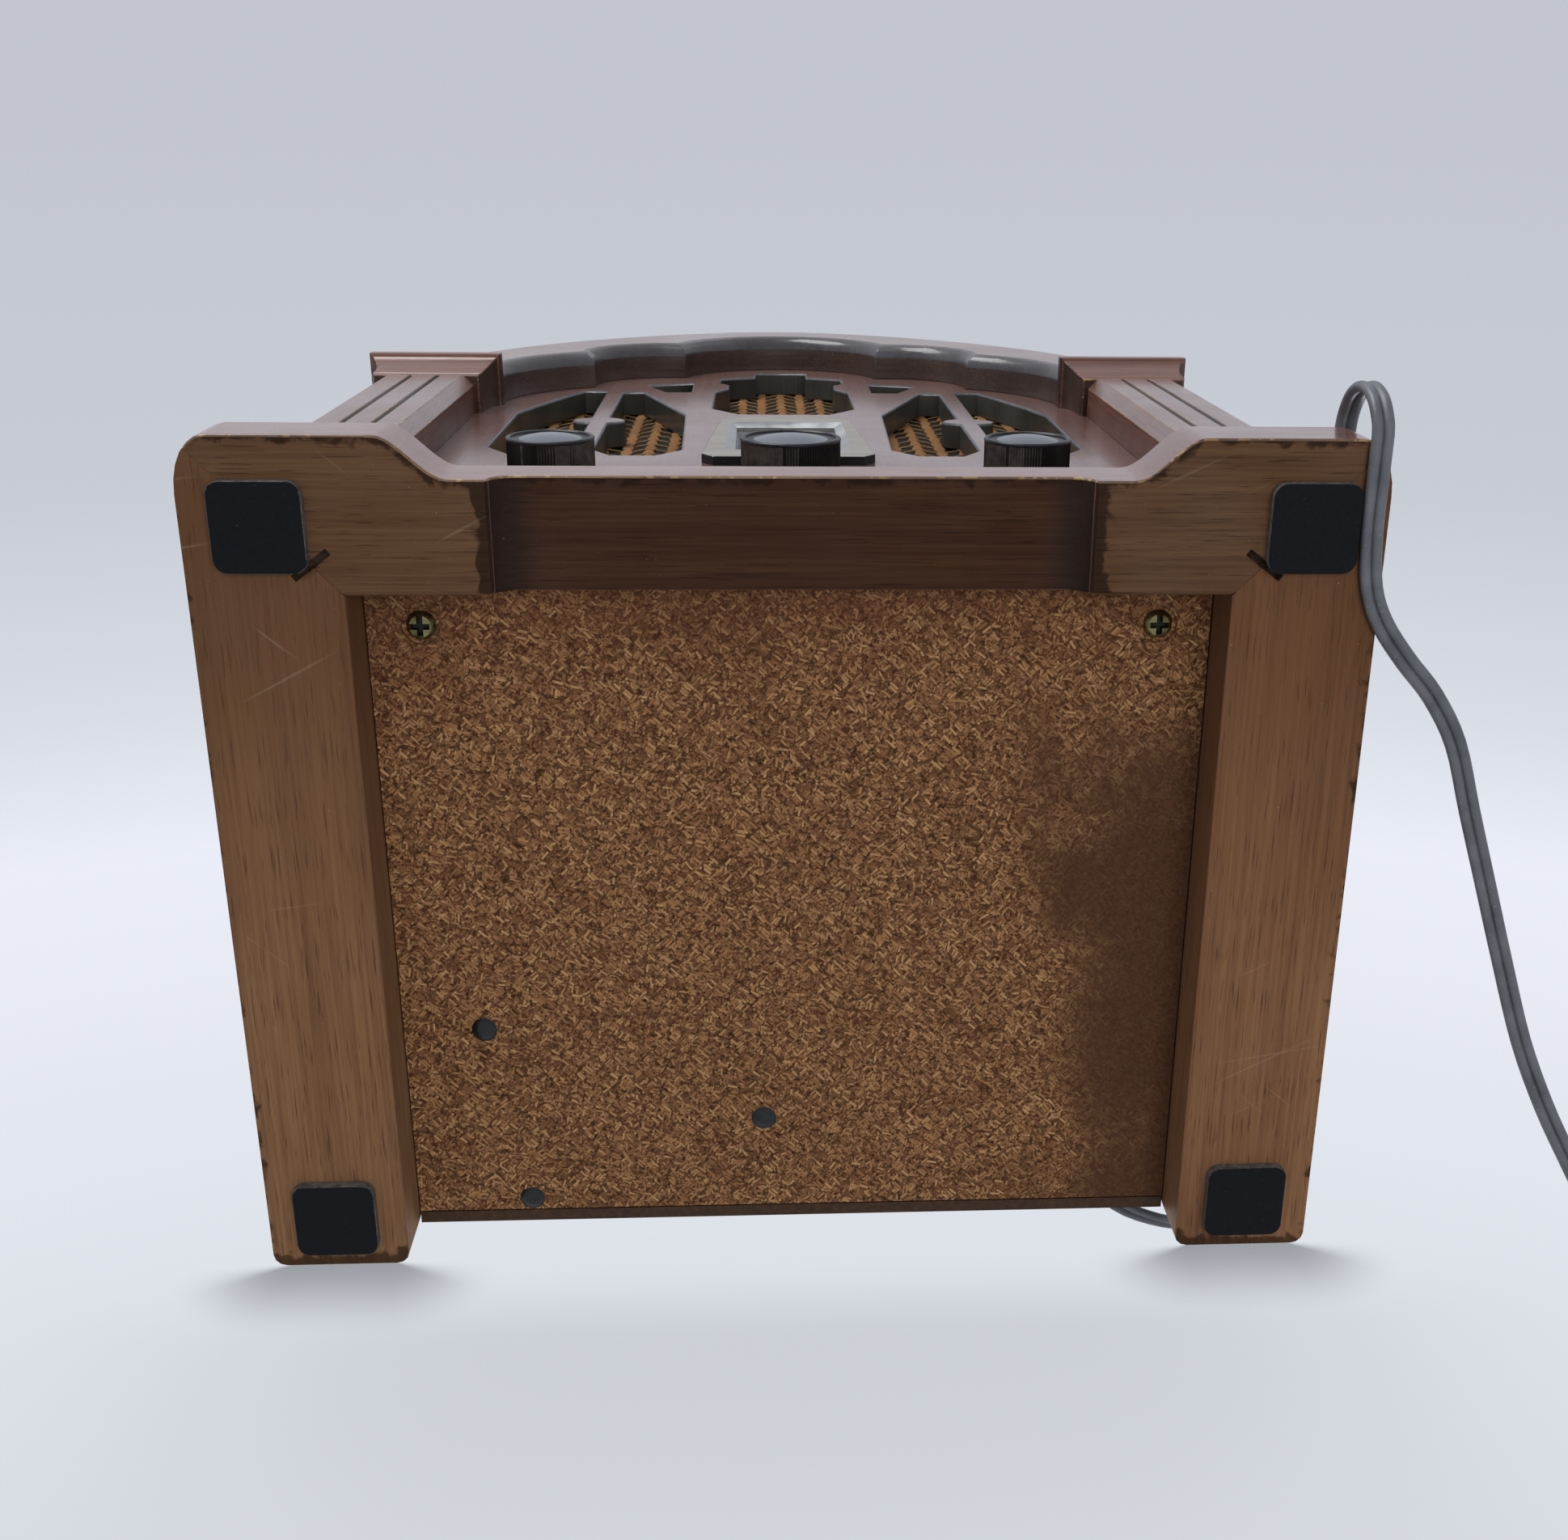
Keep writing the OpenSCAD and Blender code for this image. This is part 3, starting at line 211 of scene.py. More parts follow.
# Where a darker tone starts and where it is full: along the rails, and squared across the relief
# for the painted shade at its ends.
DEEP_Y = (0.05, -0.085)
END_X_SQUARED = (0.0026, 0.0036)
# Each set of scratches: its turn in degrees and how far its pattern is shifted.
SCRATCHES = ((28, 0.3), (-41, 0.8), (8, 0.1))


def drawn_out(along, share):
    """The stretch that draws a pattern out along one axis."""
    return [share if axis == along else 1 for axis in "xyz"]


def stained_wood(name, along, tones, haze="#a39488", haze_share=0.12, chips=0.0,
                 chip_colour="#b3904f", rim=0.0, deepen=0.0, ends=0.0, roughness=0.36, coat=0.2,
                 gloss=0.28, scuffs=0.0, dust=0.0, shift=(0, 0, 0)):
    """Bands, fine lines and pores along one axis; on top lie stain, dust, worn edges, a pale veil
    that is partly dust and partly a painted reflection, and painted shade at the relief's ends.
    """
    dark, middle, light = tones.split()
    wood = Finish(name, roughness=roughness, Coat_Weight=coat, Coat_Roughness=0.14,
                  Specular_IOR_Level=gloss, Sheen_Weight=dust, Sheen_Roughness=0.45,
                  Sheen_Tint="#e4c9c2")
    bands = wood.grain(75, 3, 0.3, drawn_out(along, 0.05), shift=shift)
    lines = wood.grain(1300, 3, 0, drawn_out(along, 0.02), shift=shift)
    pores = wood.grain(2400, 2, 0, drawn_out(along, 0.035), shift=shift)
    clouds = wood.grain(16, 4, 0.5, drawn_out(along, 0.35), shift=shift)
    colour = wood.ramp(bands, (0.25, dark), (0.5, middle), (0.75, light))
    colour = wood.mix(0.5, colour, wood.ramp(lines, (0.3, dark), (0.5, middle), (0.7, light)))
    colour = wood.layer(colour, dark, 0.3, clouds, 0.5, 0.85)
    open_pores = wood.step(pores, 0.6, 0.7)
    colour = wood.mix(wood.times(open_pores, 0.55), colour, PORE_STAIN)
    # A pale veil in patches: partly dust, partly a painted reflection on the lacquer.
    film = wood.grain(45, 5, 0.4, shift=shift)
    colour = wood.layer(colour, haze, haze_share, film, 0.15, 0.95)
    if deepen:
        colour = wood.layer(colour, dark, deepen, wood.along(1), *DEEP_Y)
    # Painted shade: the relief's two ends are darkened.
    if ends:
        across = wood.along(0)
        squared = wood.times(across, across)
        colour = wood.layer(colour, END_SHADE, ends, squared, *END_X_SQUARED)
    if rim:
        ragged = wood.math("ADD", wood.attribute("rim"), wood.times(wood.grain(210, 5, 0.6), 1.1))
        colour = wood.layer(colour, RIM_STAIN, rim, ragged, 0.96, 1.14)
    if chips:
        spots = wood.grain(330, 5, 0.8, shift=shift)
        bare = wood.tones(lines, BARE_DARK, chip_colour)
        colour = wood.layer(colour, bare, 0.9, spots, 0.62 - 0.2 * chips, 0.66 - 0.18 * chips)
    if scuffs:
        for turn, place in SCRATCHES:
            scratch = wood.grain(420, 2, 0.3, (0.05, 1, 1), (0, 0, turn), (place,) * 3)
            colour = wood.layer(colour, SCRATCH_TONE, scuffs, scratch, 0.72, 0.82)
    wood.coloured(wood.layer(colour, SPECK_TONE, 0.3, wood.grain(1500, 2), 0.74, 0.8))
    wood.rough(wood.tones(wood.grain(40, 5), roughness - 0.06, roughness + 0.12))
    height = wood.math("SUBTRACT", wood.times(lines, 0.4), wood.times(open_pores, 0.7))
    wood.bump(height, 0.00008)
    return wood.material


def raw_wood(name, along, dark="#6b3f22", light="#a8784a"):
    wood = Finish(name, roughness=0.75)
    fibres = wood.grain(220, 6, 0.4, drawn_out(along, 0.05))
    wood.coloured(wood.tones(fibres, dark, light))
    wood.bump(fibres, 0.0002)
    return wood.material


# Each layer of flakes in the pressed board: its turn in degrees and how fine it is.
FLAKE_LAYERS = ((12, 1450), (102, 1300), (57, 1600), (147, 1250), (34, 1400), (124, 1350),
                (79, 1500), (169, 1300), (46, 1450), (136, 1350))
FLAKE_BEND = (0.0018, 0.0018, 0.0018)


def flake_board():
    """Pressed flakes lying in all directions, each with a painted shadow round it, and a damp dark
    patch along the right side.
    """
    board = Finish("flake_board", roughness=0.85, Specular_IOR_Level=0.1)
    colour = board.tones(board.grain(1100, 5), "#4e3222", "#845d40")
    height = board.grain(700)
    swirl = board.times(board.math("SUBTRACT", board.grain(28, 5, 0.4), 0.5), 0.07)
    across = board.math("ADD", board.along(0), swirl)
    back = board.math("ADD", board.along(1), swirl)
    damp = board.times(board.step(across, 0.055, 0.082), board.step(back, -0.045, 0.0))
    dry = board.math("SUBTRACT", 1.0, board.times(damp, 0.75))
    curl = board.add("TexNoise", Vector=board.here, Scale=130.0, Detail=1.0)
    bend = board.add("VectorMath")
    bend.operation = "MULTIPLY_ADD"
    for socket, value in zip(bend.inputs, (curl.outputs["Color"], FLAKE_BEND, board.here)):
        board.feed(socket, value)
    for k, (turn, scale) in enumerate(FLAKE_LAYERS):
        place = board.place((0.25, 1, 1), (0, 0, turn), (0.1 * k, 0, 0), bend.outputs[0])
        cells = board.add("TexVoronoi", Vector=place, Scale=scale)
        cells.distance = "CHEBYCHEV"
        tone = board.add("SeparateColor", Color=cells.outputs["Color"])
        shown = board.times(board.step(tone.outputs[0], 0.66, 0.68), dry)
        # Painted shadow: a dark ring just outside each flake.
        shade = board.times(board.step(cells.outputs["Distance"], 0.62, 0.4), shown)
        inside = board.times(board.step(cells.outputs["Distance"], 0.42, 0.34), shown)
        flake = board.ramp(tone.outputs[1], (0.0, "#6a4931"), (0.35, "#8d6444"),
                           (0.75, "#a17852"), (1.0, "#b78f64"))
        colour = board.mix(board.times(shade, 0.6), colour, "#2f1c10")
        colour = board.mix(inside, colour, flake)
        height = board.mix(inside, height, tone.outputs[2])
    colour = board.layer(colour, "#27170d", 0.4, board.grain(2600, 2), 0.66, 0.74)
    colour = board.layer(colour, "#503022", 0.5, back, -0.03, -0.07)
    board.coloured(board.mix(board.times(damp, 0.72), colour, "#412a1f"))
    board.bump(height, 0.00025)
    return board.material


def plain_plastic(name, first, second, roughness=0.4, scale=300, depth=0.00003, gloss=0.3):
    plastic = Finish(name, roughness=roughness, Specular_IOR_Level=gloss)
    cloud = plastic.grain(scale, 5)
    colour = plastic.ramp(cloud, (0.35, first), (0.7, second))
    plastic.coloured(plastic.layer(colour, "#8d8a86", 0.4, plastic.grain(2200, 2), 0.72, 0.78))
    plastic.rough(plastic.tones(cloud, roughness - 0.07, roughness + 0.1))
    plastic.bump(plastic.grain(1800, 3), depth)
    return plastic.material


def metal(name, first, second, roughness=0.35, stretch=(1, 1, 1), scale=900):
    finish = Finish(name, roughness=roughness, metallic=1.0)
    lines = finish.grain(scale, stretch=stretch)
    finish.coloured(finish.mix(0.5, finish.tones(lines, first, second),
                               finish.tones(finish.grain(60), second, first)))
    finish.rough(finish.tones(lines, roughness - 0.1, roughness + 0.15))
    finish.bump(lines, 0.00003)
    return finish.material


def lead_plastic():
    sheath = Finish("lead_sheath", roughness=0.42)
    colour = sheath.tones(sheath.grain(120, 5), "#4b4e54", "#676a70")
    sheath.coloured(sheath.layer(colour, "#a8a59f", 0.5, sheath.grain(1700, 3), 0.66, 0.74))
    sheath.bump(sheath.grain(900, 3), 0.00003)
    return sheath.material


def window_glass():
    glass = Finish("window_glass", "#c8d0d4", 0.06, IOR=1.45, Alpha=0.1)
    glass.coloured(glass.tones(glass.grain(90, 5), "#b8c0c4", "#d8dde0"))
    return glass.material


def cord_cloth(name, dark, middle, light, twist=1100):
    cloth = Finish(name, roughness=0.85, Specular_IOR_Level=0.12)
    strand = cloth.add("TexWave", Vector=cloth.place((1, 0.2, 0.45)), Scale=twist,
                       Distortion=2.0, Detail=2.0)
    strand.bands_direction = "DIAGONAL"
    shade = cloth.ramp(strand.outputs["Fac"], (0.1, dark), (0.55, middle), (0.95, light))
    cloth.coloured(cloth.mix(0.3, shade, cloth.tones(cloth.grain(60), dark, light)))
    cloth.bump(strand.outputs["Fac"], 0.0001)
    return cloth.material


# Pieces: a merged copy of a CAD solid, its edges rounded, in place of the loose triangles.
MERGE = 0.02 * MM
FLAT = math.radians(0.6)
EDGE = math.radians(28)
SMOOTH = math.radians(32)


def solid_of(node):
    bm = bmesh.new()
    bm.from_mesh(NODES[node].data)
    bmesh.ops.remove_doubles(bm, verts=bm.verts, dist=MERGE)
    bmesh.ops.dissolve_limit(bm, angle_limit=FLAT, verts=bm.verts, edges=bm.edges)
    return bm


def sharp_edges(bm):
    return [e for e in bm.edges if len(e.link_faces) == 2 and e.calc_face_angle(0) > EDGE]


def round_edges(bm, edges, width, segments=2, material=-1, clamp=True):
    bmesh.ops.bevel(bm, geom=edges, offset=width, segments=segments, profile=0.5,
                    affect="EDGES", clamp_overlap=clamp, material=material)


def skin(bm, loops, ends=True):
    """Faces from each loop of points to the next, and over both ends."""
    faces = []
    for a, b in zip(loops, loops[1:]):
        n = len(a)
        faces += [bm.faces.new((a[k], a[(k + 1) % n], b[(k + 1) % n], b[k])) for k in range(n)]
    if ends:
        faces += [bm.faces.new(loops[0]), bm.faces.new(loops[-1])]
    return faces


def new_object(name, bm, materials):
    mesh = bpy.data.meshes.new(name)
    bm.to_mesh(mesh)
    bm.free()
    for material in materials:
        mesh.materials.append(material)
    obj = bpy.data.objects.new(name, mesh)
    bpy.context.scene.collection.objects.link(obj)
    return obj


def piece(bm, name, body, materials, slot, replaces=(), smooth=True, sharp=SMOOTH):
    for face in bm.faces:
        face.smooth = smooth
    obj = new_object(name, bm, materials)
    if smooth:
        obj.data.set_sharp_from_angle(angle=sharp)
        obj.modifiers.new("even_shading", "WEIGHTED_NORMAL").keep_sharp = True
    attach(obj, body)
    if replaces:
        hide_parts(*replaces)
    return obj


def stand_in(bm, node, ending, materials, **how):
    """A piece that takes the place of one CAD node."""
    return piece(bm, node + ending, BODY_OF[node], materials, SLOT_OF[node], [node], **how)


def dressed(node, materials, width=0.4 * MM, segments=2, edge_material=-1, marks=None):
    """The CAD solid with rounded edges; marks gives the faces that a test picks a material."""
    bm = solid_of(node)
    for index, picks in (marks or {}).items():
        for face in bm.faces:
            if picks(face):
                face.material_index = index
    if width:
        round_edges(bm, sharp_edges(bm), width, segments, edge_material)
    stand_in(bm, node, "_finished", materials)


def coated(material, *nodes):
    """The CAD solids as they are, with one material."""
    for node in nodes:
        data = NODES[node].data
        data.materials.clear()
        data.materials.append(material)


# Mains lead: the CAD route again, a flat pair of round cores along one smooth curve.
LEAD_W, LEAD_T = 4.8 * MM, 2.4 * MM
FLOOR_Z = LEAD_T / 2
ROUTE_IN = [(84, 116.5, 96), (87, 130, 93), (96, 138, 84), (107, 136, 71), (114.6, 127, 56),
            (118.4, 115, 42), (119.4, 104, 30.6), (119.6, 95, 24.9), (119.6, 87, 23),
            (119.6, 76, 22.9), (119.6, 52, 22.9), (119.6, 28, 22.9), (119.6, 0, 22.9),
            (119.6, -28, 22.9), (119.6, -56, 22.9), (119.8, -80, 22.9), (120.2, -96, 23.1)]
ROUTE_HOOK = [(120.4, -102, 21.5), (120.6, -106, 17.6), (120.8, -107.4, 12), (121, -106, 6.6),
              (121.1, -102.8, 2.8)]
ROUTE_OUT = [(121.2, -99), (121.2, -90), (121.3, -78), (122.6, -67), (126, -59), (132, -51),
             (139, -43), (145.6, -32), (151, -16), (157.6, 3), (163.5, 20), (171.5, 42),
             (180, 60), (189, 76), (197, 90), (201.5, 101)]
COIL_AT = Vector((238, 112, 1.2)) * MM
COIL_R, COIL_STEP, COIL_RISE = 36 * MM, 5.3 * MM, 2.9 * MM
COIL_TURNS = 7.5
COIL_TAIL = 32 * MM
COIL_RINGS = 40
CURVE_STEPS = 4
CORE_R = LEAD_T / 2
CORE_OUT = LEAD_W / 2 - CORE_R
SEAM_HALF = 0.3 * MM


def smooth_between(a, b, c, d, u):
    """A place between b and c on the curve that passes through all four."""
    return 0.5 * (2 * b + (c - a) * u + (2 * a - 5 * b + 4 * c - d) * u**2
                  + (3 * b - a - 3 * c + d) * u**3)


def way_at(points, i):
    """Which way a line of points runs at one of them."""
    return points[min(i + 1, len(points) - 1)] - points[max(i - 1, 0)]


def lead_line():
    """Points of the lead with the sideways direction of its flat section at each."""
    route = ROUTE_IN + ROUTE_HOOK + [(x, y, 1.2) for x, y in ROUTE_OUT]
    route = [Vector(p) * MM for p in route] + [COIL_AT - Vector((COIL_R, 0, 0))]
    points = []
    for i in range(len(route) - 1):
        a = route[i - 1] if i else 2 * route[0] - route[1]
        d = route[min(i + 2, len(route) - 1)]
        for step in range(CURVE_STEPS):
            p = smooth_between(a, route[i], route[i + 1], d, step / CURVE_STEPS)
            points.append(Vector((p.x, p.y, max(p.z, FLOOR_Z))))
    hook_end = CURVE_STEPS * (len(ROUTE_IN) + len(ROUTE_HOOK)) + 1
    hook = range(CURVE_STEPS * len(ROUTE_IN) - 1, hook_end)
    for k in range(int(COIL_TURNS * COIL_RINGS) + 1):
        turn = k / COIL_RINGS
        radius = COIL_R - COIL_STEP * min(turn, COIL_TURNS - turn)
        angle = math.pi * (1 - 2 * turn)
        lift = max(0.0, min(1.0, (turn - COIL_TURNS / 2) / 0.5 + 0.5))
        rise = COIL_RISE * lift * lift * (3 - 2 * lift)
        spot = Vector((radius * math.cos(angle), radius * math.sin(angle), rise))
        points.append(COIL_AT + spot)
    last = points[-1]
    points += [last - Vector((0, COIL_TAIL * share, 0)) for share in (0.25, 0.5, 0.75, 1)]
    sides = []
    for i in range(len(points)):
        way = way_at(points, i)
        if i in hook:
            side = Vector((1, 0, 0))
        else:
            side = Vector((way.y, -way.x, 0)) * (-1 if i < hook.start else 1)
        sides.append(side.normalized())
    return points, sides


def lead_section():
    """Outline of two round cores side by side with a seam between them, as (sideways, up)."""
    turns = [math.radians(a) for a in range(-150, 151, 30)]
    right = [(CORE_OUT + CORE_R * math.cos(a), CORE_R * math.sin(a)) for a in turns]
    left = [(-x, -z) for x, z in right]
    return right + [(0, SEAM_HALF)] + left + [(0, -SEAM_HALF)]


def mains_lead():
    points, sides = lead_line()
    bm = bmesh.new()
    loops = []
    for i, (p, side) in enumerate(zip(points, sides)):
        up = side.cross(way_at(points, i).normalized()).normalized()
        loops.append([bm.verts.new(p + side * x + up * z) for x, z in lead_section()])
    skin(bm, loops)
    bmesh.ops.recalc_face_normals(bm, faces=bm.faces)
    lead = piece(bm, "mains_lead", BODY_OF["lead_run"], [lead_plastic()], "lead_sheath",
                 ["lead_run", "lead_coil"])


make_camera()
mains_lead()
coated(plain_plastic("moulded_black", "#1d1e21", "#2b2c30", 0.45), "power_plug", "strain_relief")
brass = metal("pressed_brass", "#9a8a45", "#c2b368", 0.38)
coated(brass, "plug_blades", "tuning_bushing", "board_standoffs", "speaker_screws")

# Base boards: mitred, rounded and worn, with dark stain run in from their outlines.
FRONT_Y, BACK_Y = -98 * MM, 98 * MM
INNER_W, OUTER_W = 93 * MM, 125 * MM
UNDER_Z, TOP_Z = 2.5 * MM, 21.5 * MM
MITRE_IN, MITRE_OUT = Vector((93, -65)) * MM, Vector((125, -98)) * MM
KERF_AT, KERF_REACH = Vector((99.4, -71.6)) * MM, 6.5 * MM
# How far in from the base's outline an edge still belongs to it, and up from the underside.
FRONT_BAND, SIDE_BAND, BACK_BAND, LOW_BAND = 12 * MM, 3 * MM, 4 * MM, 5 * MM
# The relief under the front board: where its ends lie, its half width and its front line.
RELIEF_END_IN, RELIEF_END_OUT, RELIEF_W, RELIEF_FRONT = 50 * MM, 64 * MM, 62.5 * MM, 9.5 * MM
# How far in the stain reaches, how small its faces are and what keeps their cuts off the outline.
RIM_IN, RIM_GRID, RIM_OFFSET = 7 * MM, 3 * MM, 0.31 * MM
# The boards' materials after the plain wood, by their place in the list.
WORN_EDGE, RELIEF, KERF, LACQUER = 1, 2, 3, 4


def in_plan(point):
    """The place seen from above, folded onto the right half."""
    return Vector((abs(point.x), point.y))


def on_mitre(point):
    way = (MITRE_OUT - MITRE_IN).normalized()
    away = in_plan(point) - MITRE_IN
    return abs(away.x * way.y - away.y * way.x) < 0.1 * MM


def near_kerf(point):
    return (in_plan(point) - KERF_AT).length < KERF_REACH


def ends_relief(a, b):
    return RELIEF_END_IN < abs(a.x + b.x) / 2 < RELIEF_END_OUT and abs(a.y - b.y) > 10 * MM


def edge_kind(edge):
    """Which of the board's edges this is: each kind has worn in its own way."""
    a, b = edge.verts[0].co, edge.verts[1].co
    mid = (a + b) / 2
    if on_mitre(a) and on_mitre(b):
        return "mitre"
    if near_kerf(mid):
        return "kerf"
    outside = (mid.y < FRONT_Y + FRONT_BAND or abs(mid.x) > OUTER_W - SIDE_BAND
               or mid.y > BACK_Y - BACK_BAND)
    if max(a.z, b.z) < UNDER_Z + LOW_BAND:
        if ends_relief(a, b):
            return "relief"
        return "low_outside" if outside else "low_inside"
    if min(a.z, b.z) > TOP_Z - 0.5 * MM:
        return "high_outside" if outside else "high_inside"
    return "upright"


def round_kind(bm, kind, width, segments=4, material=-1):
    edges = [e for e in sharp_edges(bm) if edge_kind(e) == kind]
    round_edges(bm, edges, width, segments, material)


def edge_distance(point, start, end):
    way = end - start
    share = max(0.0, min(1.0, (point - start).dot(way) / max(way.length_squared, 1e-12)))
    return (point - start - way * share).length


def stain_reach(a, b):
    """How far stain has run in from a piece of the underside's outline, 0 for none."""
    mid = (a + b) / 2
    if mid.y < FRONT_Y + FRONT_BAND:
        return 0.62 if abs(mid.x) < OUTER_W - RIM_IN else 0.3
    if abs(mid.x) > OUTER_W - SIDE_BAND:
        return 0.45
    if mid.y > BACK_Y - BACK_BAND:
        return 0.85
    return 0.9 if ends_relief(a, b) and max(a.z, b.z) < UNDER_Z + MM else 0.0


def underside(bm):
    return [f for f in bm.faces if f.normal.z < -0.9]


def mark_rim(bm):
    """Cuts the underside into small faces and stores how much stain reaches their points."""
    low = Vector([min(v.co[a] for v in bm.verts) for a in range(3)])
    high = Vector([max(v.co[a] for v in bm.verts) for a in range(3)])
    under = underside(bm)
    outline = []
    for edge in {e for f in under for e in f.edges}:
        a, b = edge.verts[0].co, edge.verts[1].co
        reach = stain_reach(a, b)
        if reach and sum(f.normal.z < -0.9 for f in edge.link_faces) == 1:
            outline.append((a.copy(), b.copy(), reach))
    for axis in (0, 1):
        normal = Vector((axis == 0, axis == 1, 0))
        for k in range(1, int((high[axis] - low[axis]) / RIM_GRID)):
            under = underside(bm)
            edges = list({e for f in under for e in f.edges})
            verts = list({v for f in under for v in f.verts})
            bmesh.ops.bisect_plane(bm, geom=under + edges + verts, dist=0.001 * MM,
                                   plane_no=normal,
                                   plane_co=low + normal * (k * RIM_GRID + RIM_OFFSET))
    rim = bm.verts.layers.float.new("rim")
    for v in {v for f in underside(bm) for v in f.verts}:
        v[rim] = max([reach - edge_distance(v.co, a, b) / RIM_IN for a, b, reach in outline] + [0])


def base_board(node, woods):
    bm = solid_of(node)
    round_kind(bm, "high_outside", 2.2 * MM)
    round_kind(bm, "low_inside", 1.5 * MM)
    round_kind(bm, "low_outside", 0.5 * MM, material=WORN_EDGE)
    round_kind(bm, "relief", 0.5 * MM, material=RELIEF)
    round_kind(bm, "mitre", 0.12 * MM, 1)
    mark_rim(bm)
    for face in bm.faces:
        mid, up = face.calc_center_median(), face.normal.z
        lifted = UNDER_Z + 0.02 * MM < mid.z < UNDER_Z + LOW_BAND
        if up < -0.15 and abs(mid.x) < RELIEF_W and lifted:
            if mid.y > FRONT_Y + RELIEF_FRONT:
                face.material_index = RELIEF
        elif near_kerf(mid) and mid.z > UNDER_Z + 0.3 * MM:
            face.material_index = KERF
        elif up > -0.3 and not (abs(mid.x) < INNER_W + MM and mid.y > MITRE_IN.y):
            face.material_index = LACQUER
    stand_in(bm, node, "_worn", woods)


BARE = {"coat": 0.0, "gloss": 0.07, "roughness": 0.62}
kerf_dark = raw_wood("kerf_dark", "x", "#33241b", "#4c382a")
base_board("base_front_board", [
    stained_wood("base_front_wood", "x", "#472f20 #5b402b #6d4f37", rim=0.8, haze_share=0.08,
                 scuffs=0.2, **BARE),
    stained_wood("base_front_edge", "x", "#3a261b #5d4430 #8a6a48", chips=0.35,
                 chip_colour="#b5966c"),
    # The relief's wood, darkened at both ends as painted shade.
    stained_wood("relief_wood", "x", "#2e1c13 #3f291c #4e3525", rim=0.7, haze_share=0.03,
                 ends=0.75, shift=(0.2, 0, 0.4), **BARE),
    kerf_dark,
    stained_wood("front_lacquer", "x", "#4a2a21 #6b3e30 #805040", haze="#a99a95",
                 haze_share=0.06, dust=0.08, roughness=0.26, coat=0.8)])
side_lacquer = stained_wood("side_lacquer", "y", "#40241b #5a3427 #6c4534", haze_share=0.06,
                            roughness=0.28, coat=0.9)
# Each rail's wood, its worn edge, how much darker its front end is, and where its pattern lies.
RAILS = {"left": ("#5b3e2b #7c593d #906c4b", "#2c1e17 #4d3928 #9c7a4e", 0.75, (0.3, 0.1, 0)),
         "right": ("#5a3c29 #7b563b #906a49", "#2c1e17 #503b29 #a4814f", 0.7, (0.7, 0.4, 0))}
for side, (tones, edge_tones, deepen, shift) in RAILS.items():
    rail_wood = stained_wood(f"base_{side}_wood", "y", tones, rim=0.75, deepen=deepen,
                             haze_share=0.08, scuffs=0.25, shift=shift, **BARE)
    rail_edge = stained_wood(f"base_{side}_edge", "y", edge_tones, chips=0.5, shift=shift)
    base_board("base_rail_" + side, [rail_wood, rail_edge, rail_wood, kerf_dark, side_lacquer])

# Cabinet front, body and board: red-brown wood under a glossy, dusty lacquer.
column_woods = [
    stained_wood("column_wood", "z", "#462b22 #603d30 #744d3e", haze="#a39a94", haze_share=0.08,
                 dust=0.1, roughness=0.3, coat=0.7),
    stained_wood("column_edge", "z", "#3a241b #6b4a35 #94734a", chips=0.35),
    # The groove faces are near black.
    stained_wood("groove_dark", "z", "#150e0b #20150f #33241a", haze_share=0.05),
    stained_wood("column_side", "z", "#42241a #5e372a #74493a", haze_share=0.06, roughness=0.4,
                 coat=0.15, gloss=0.15)]
capital_woods = [
    stained_wood("capital_wood", "x", "#45271b #623b2c #7a5140", haze="#a89a98", haze_share=0.06,
                 dust=0.1, roughness=0.3, coat=0.5),
    stained_wood("capital_edge", "x", "#1f120e #3d251c #7c5a48", chips=0.2),
    # The capital's underside and sides: darker wood as painted shade.
    stained_wood("capital_under_shade", "x", "#241410 #35211a #472f25", haze_share=0.08, gloss=0.15)]
arch_woods = [
    stained_wood("arch_wood", "x", "#492d23 #623f31 #775040", haze="#a89c96", haze_share=0.06,
                 dust=0.1, roughness=0.28, coat=0.75),
    # Its bluish veil is a painted reflection along the cove.
    stained_wood("moulding_wood", "x", "#211c1d #312b2c #423a3b", haze="#80838c",
                 haze_share=0.3, roughness=0.28, coat=0.5),
    stained_wood("moulding_wall", "x", "#241816 #35231f #46302a", haze_share=0.12, roughness=0.3,
                 coat=0.4)]
panel_woods = [
    stained_wood("panel_wood", "z", "#40241c #5b342a #6f4437", haze="#a39c9c", haze_share=0.06,
                 dust=0.14, roughness=0.28, coat=0.8),
    # The openings' rims in pale bluish grey: a painted highlight.
    stained_wood("panel_edge_highlight", "z", "#2f3237 #464a50 #636970", haze_share=0.1, coat=0.3,
                 gloss=0.2),
    stained_wood("opening_wall", "y", "#161716 #242523 #343530", haze="#6b6a62",
                 haze_share=0.35)]
shell_woods = [
    stained_wood("shell_wood", "y", "#3a2218 #563222 #6c442e", haze_share=0.05, coat=0.9),
    stained_wood("shell_edge", "y", "#3a2218 #5f3f2a #80603c", chips=0.35)]
ARCH_W, SPRING_Z, SIDE_R, CROWN_R = 112 * MM, 160 * MM, 150 * MM, 55 * MM
SIDE_CX = ARCH_W - SIDE_R
CROWN_CZ = SPRING_Z + math.sqrt((SIDE_R - CROWN_R) ** 2 - SIDE_CX**2)
ARCH_MID_Z = 190 * MM
GRILLE_W, GRILLE_Z, GRILLE_IN = 90 * MM, 80 * MM, 6 * MM
COLUMN_X, GROOVES_W = 103.2 * MM, 6 * MM
PANEL_Y = -79 * MM
CAP_Z, CAP_H = 170.5 * MM, 21.5 * MM
CAP_HALF, CAP_FRONT = 19.25 * MM, 15 * MM
CAP_SHARP, CAP_CORNER, LEVEL = math.radians(16), 1.0, 0.05 * MM
# The materials of worn edges and of inner faces, by their place in a piece's list.
CUT_EDGE, INSIDE = 1, 2
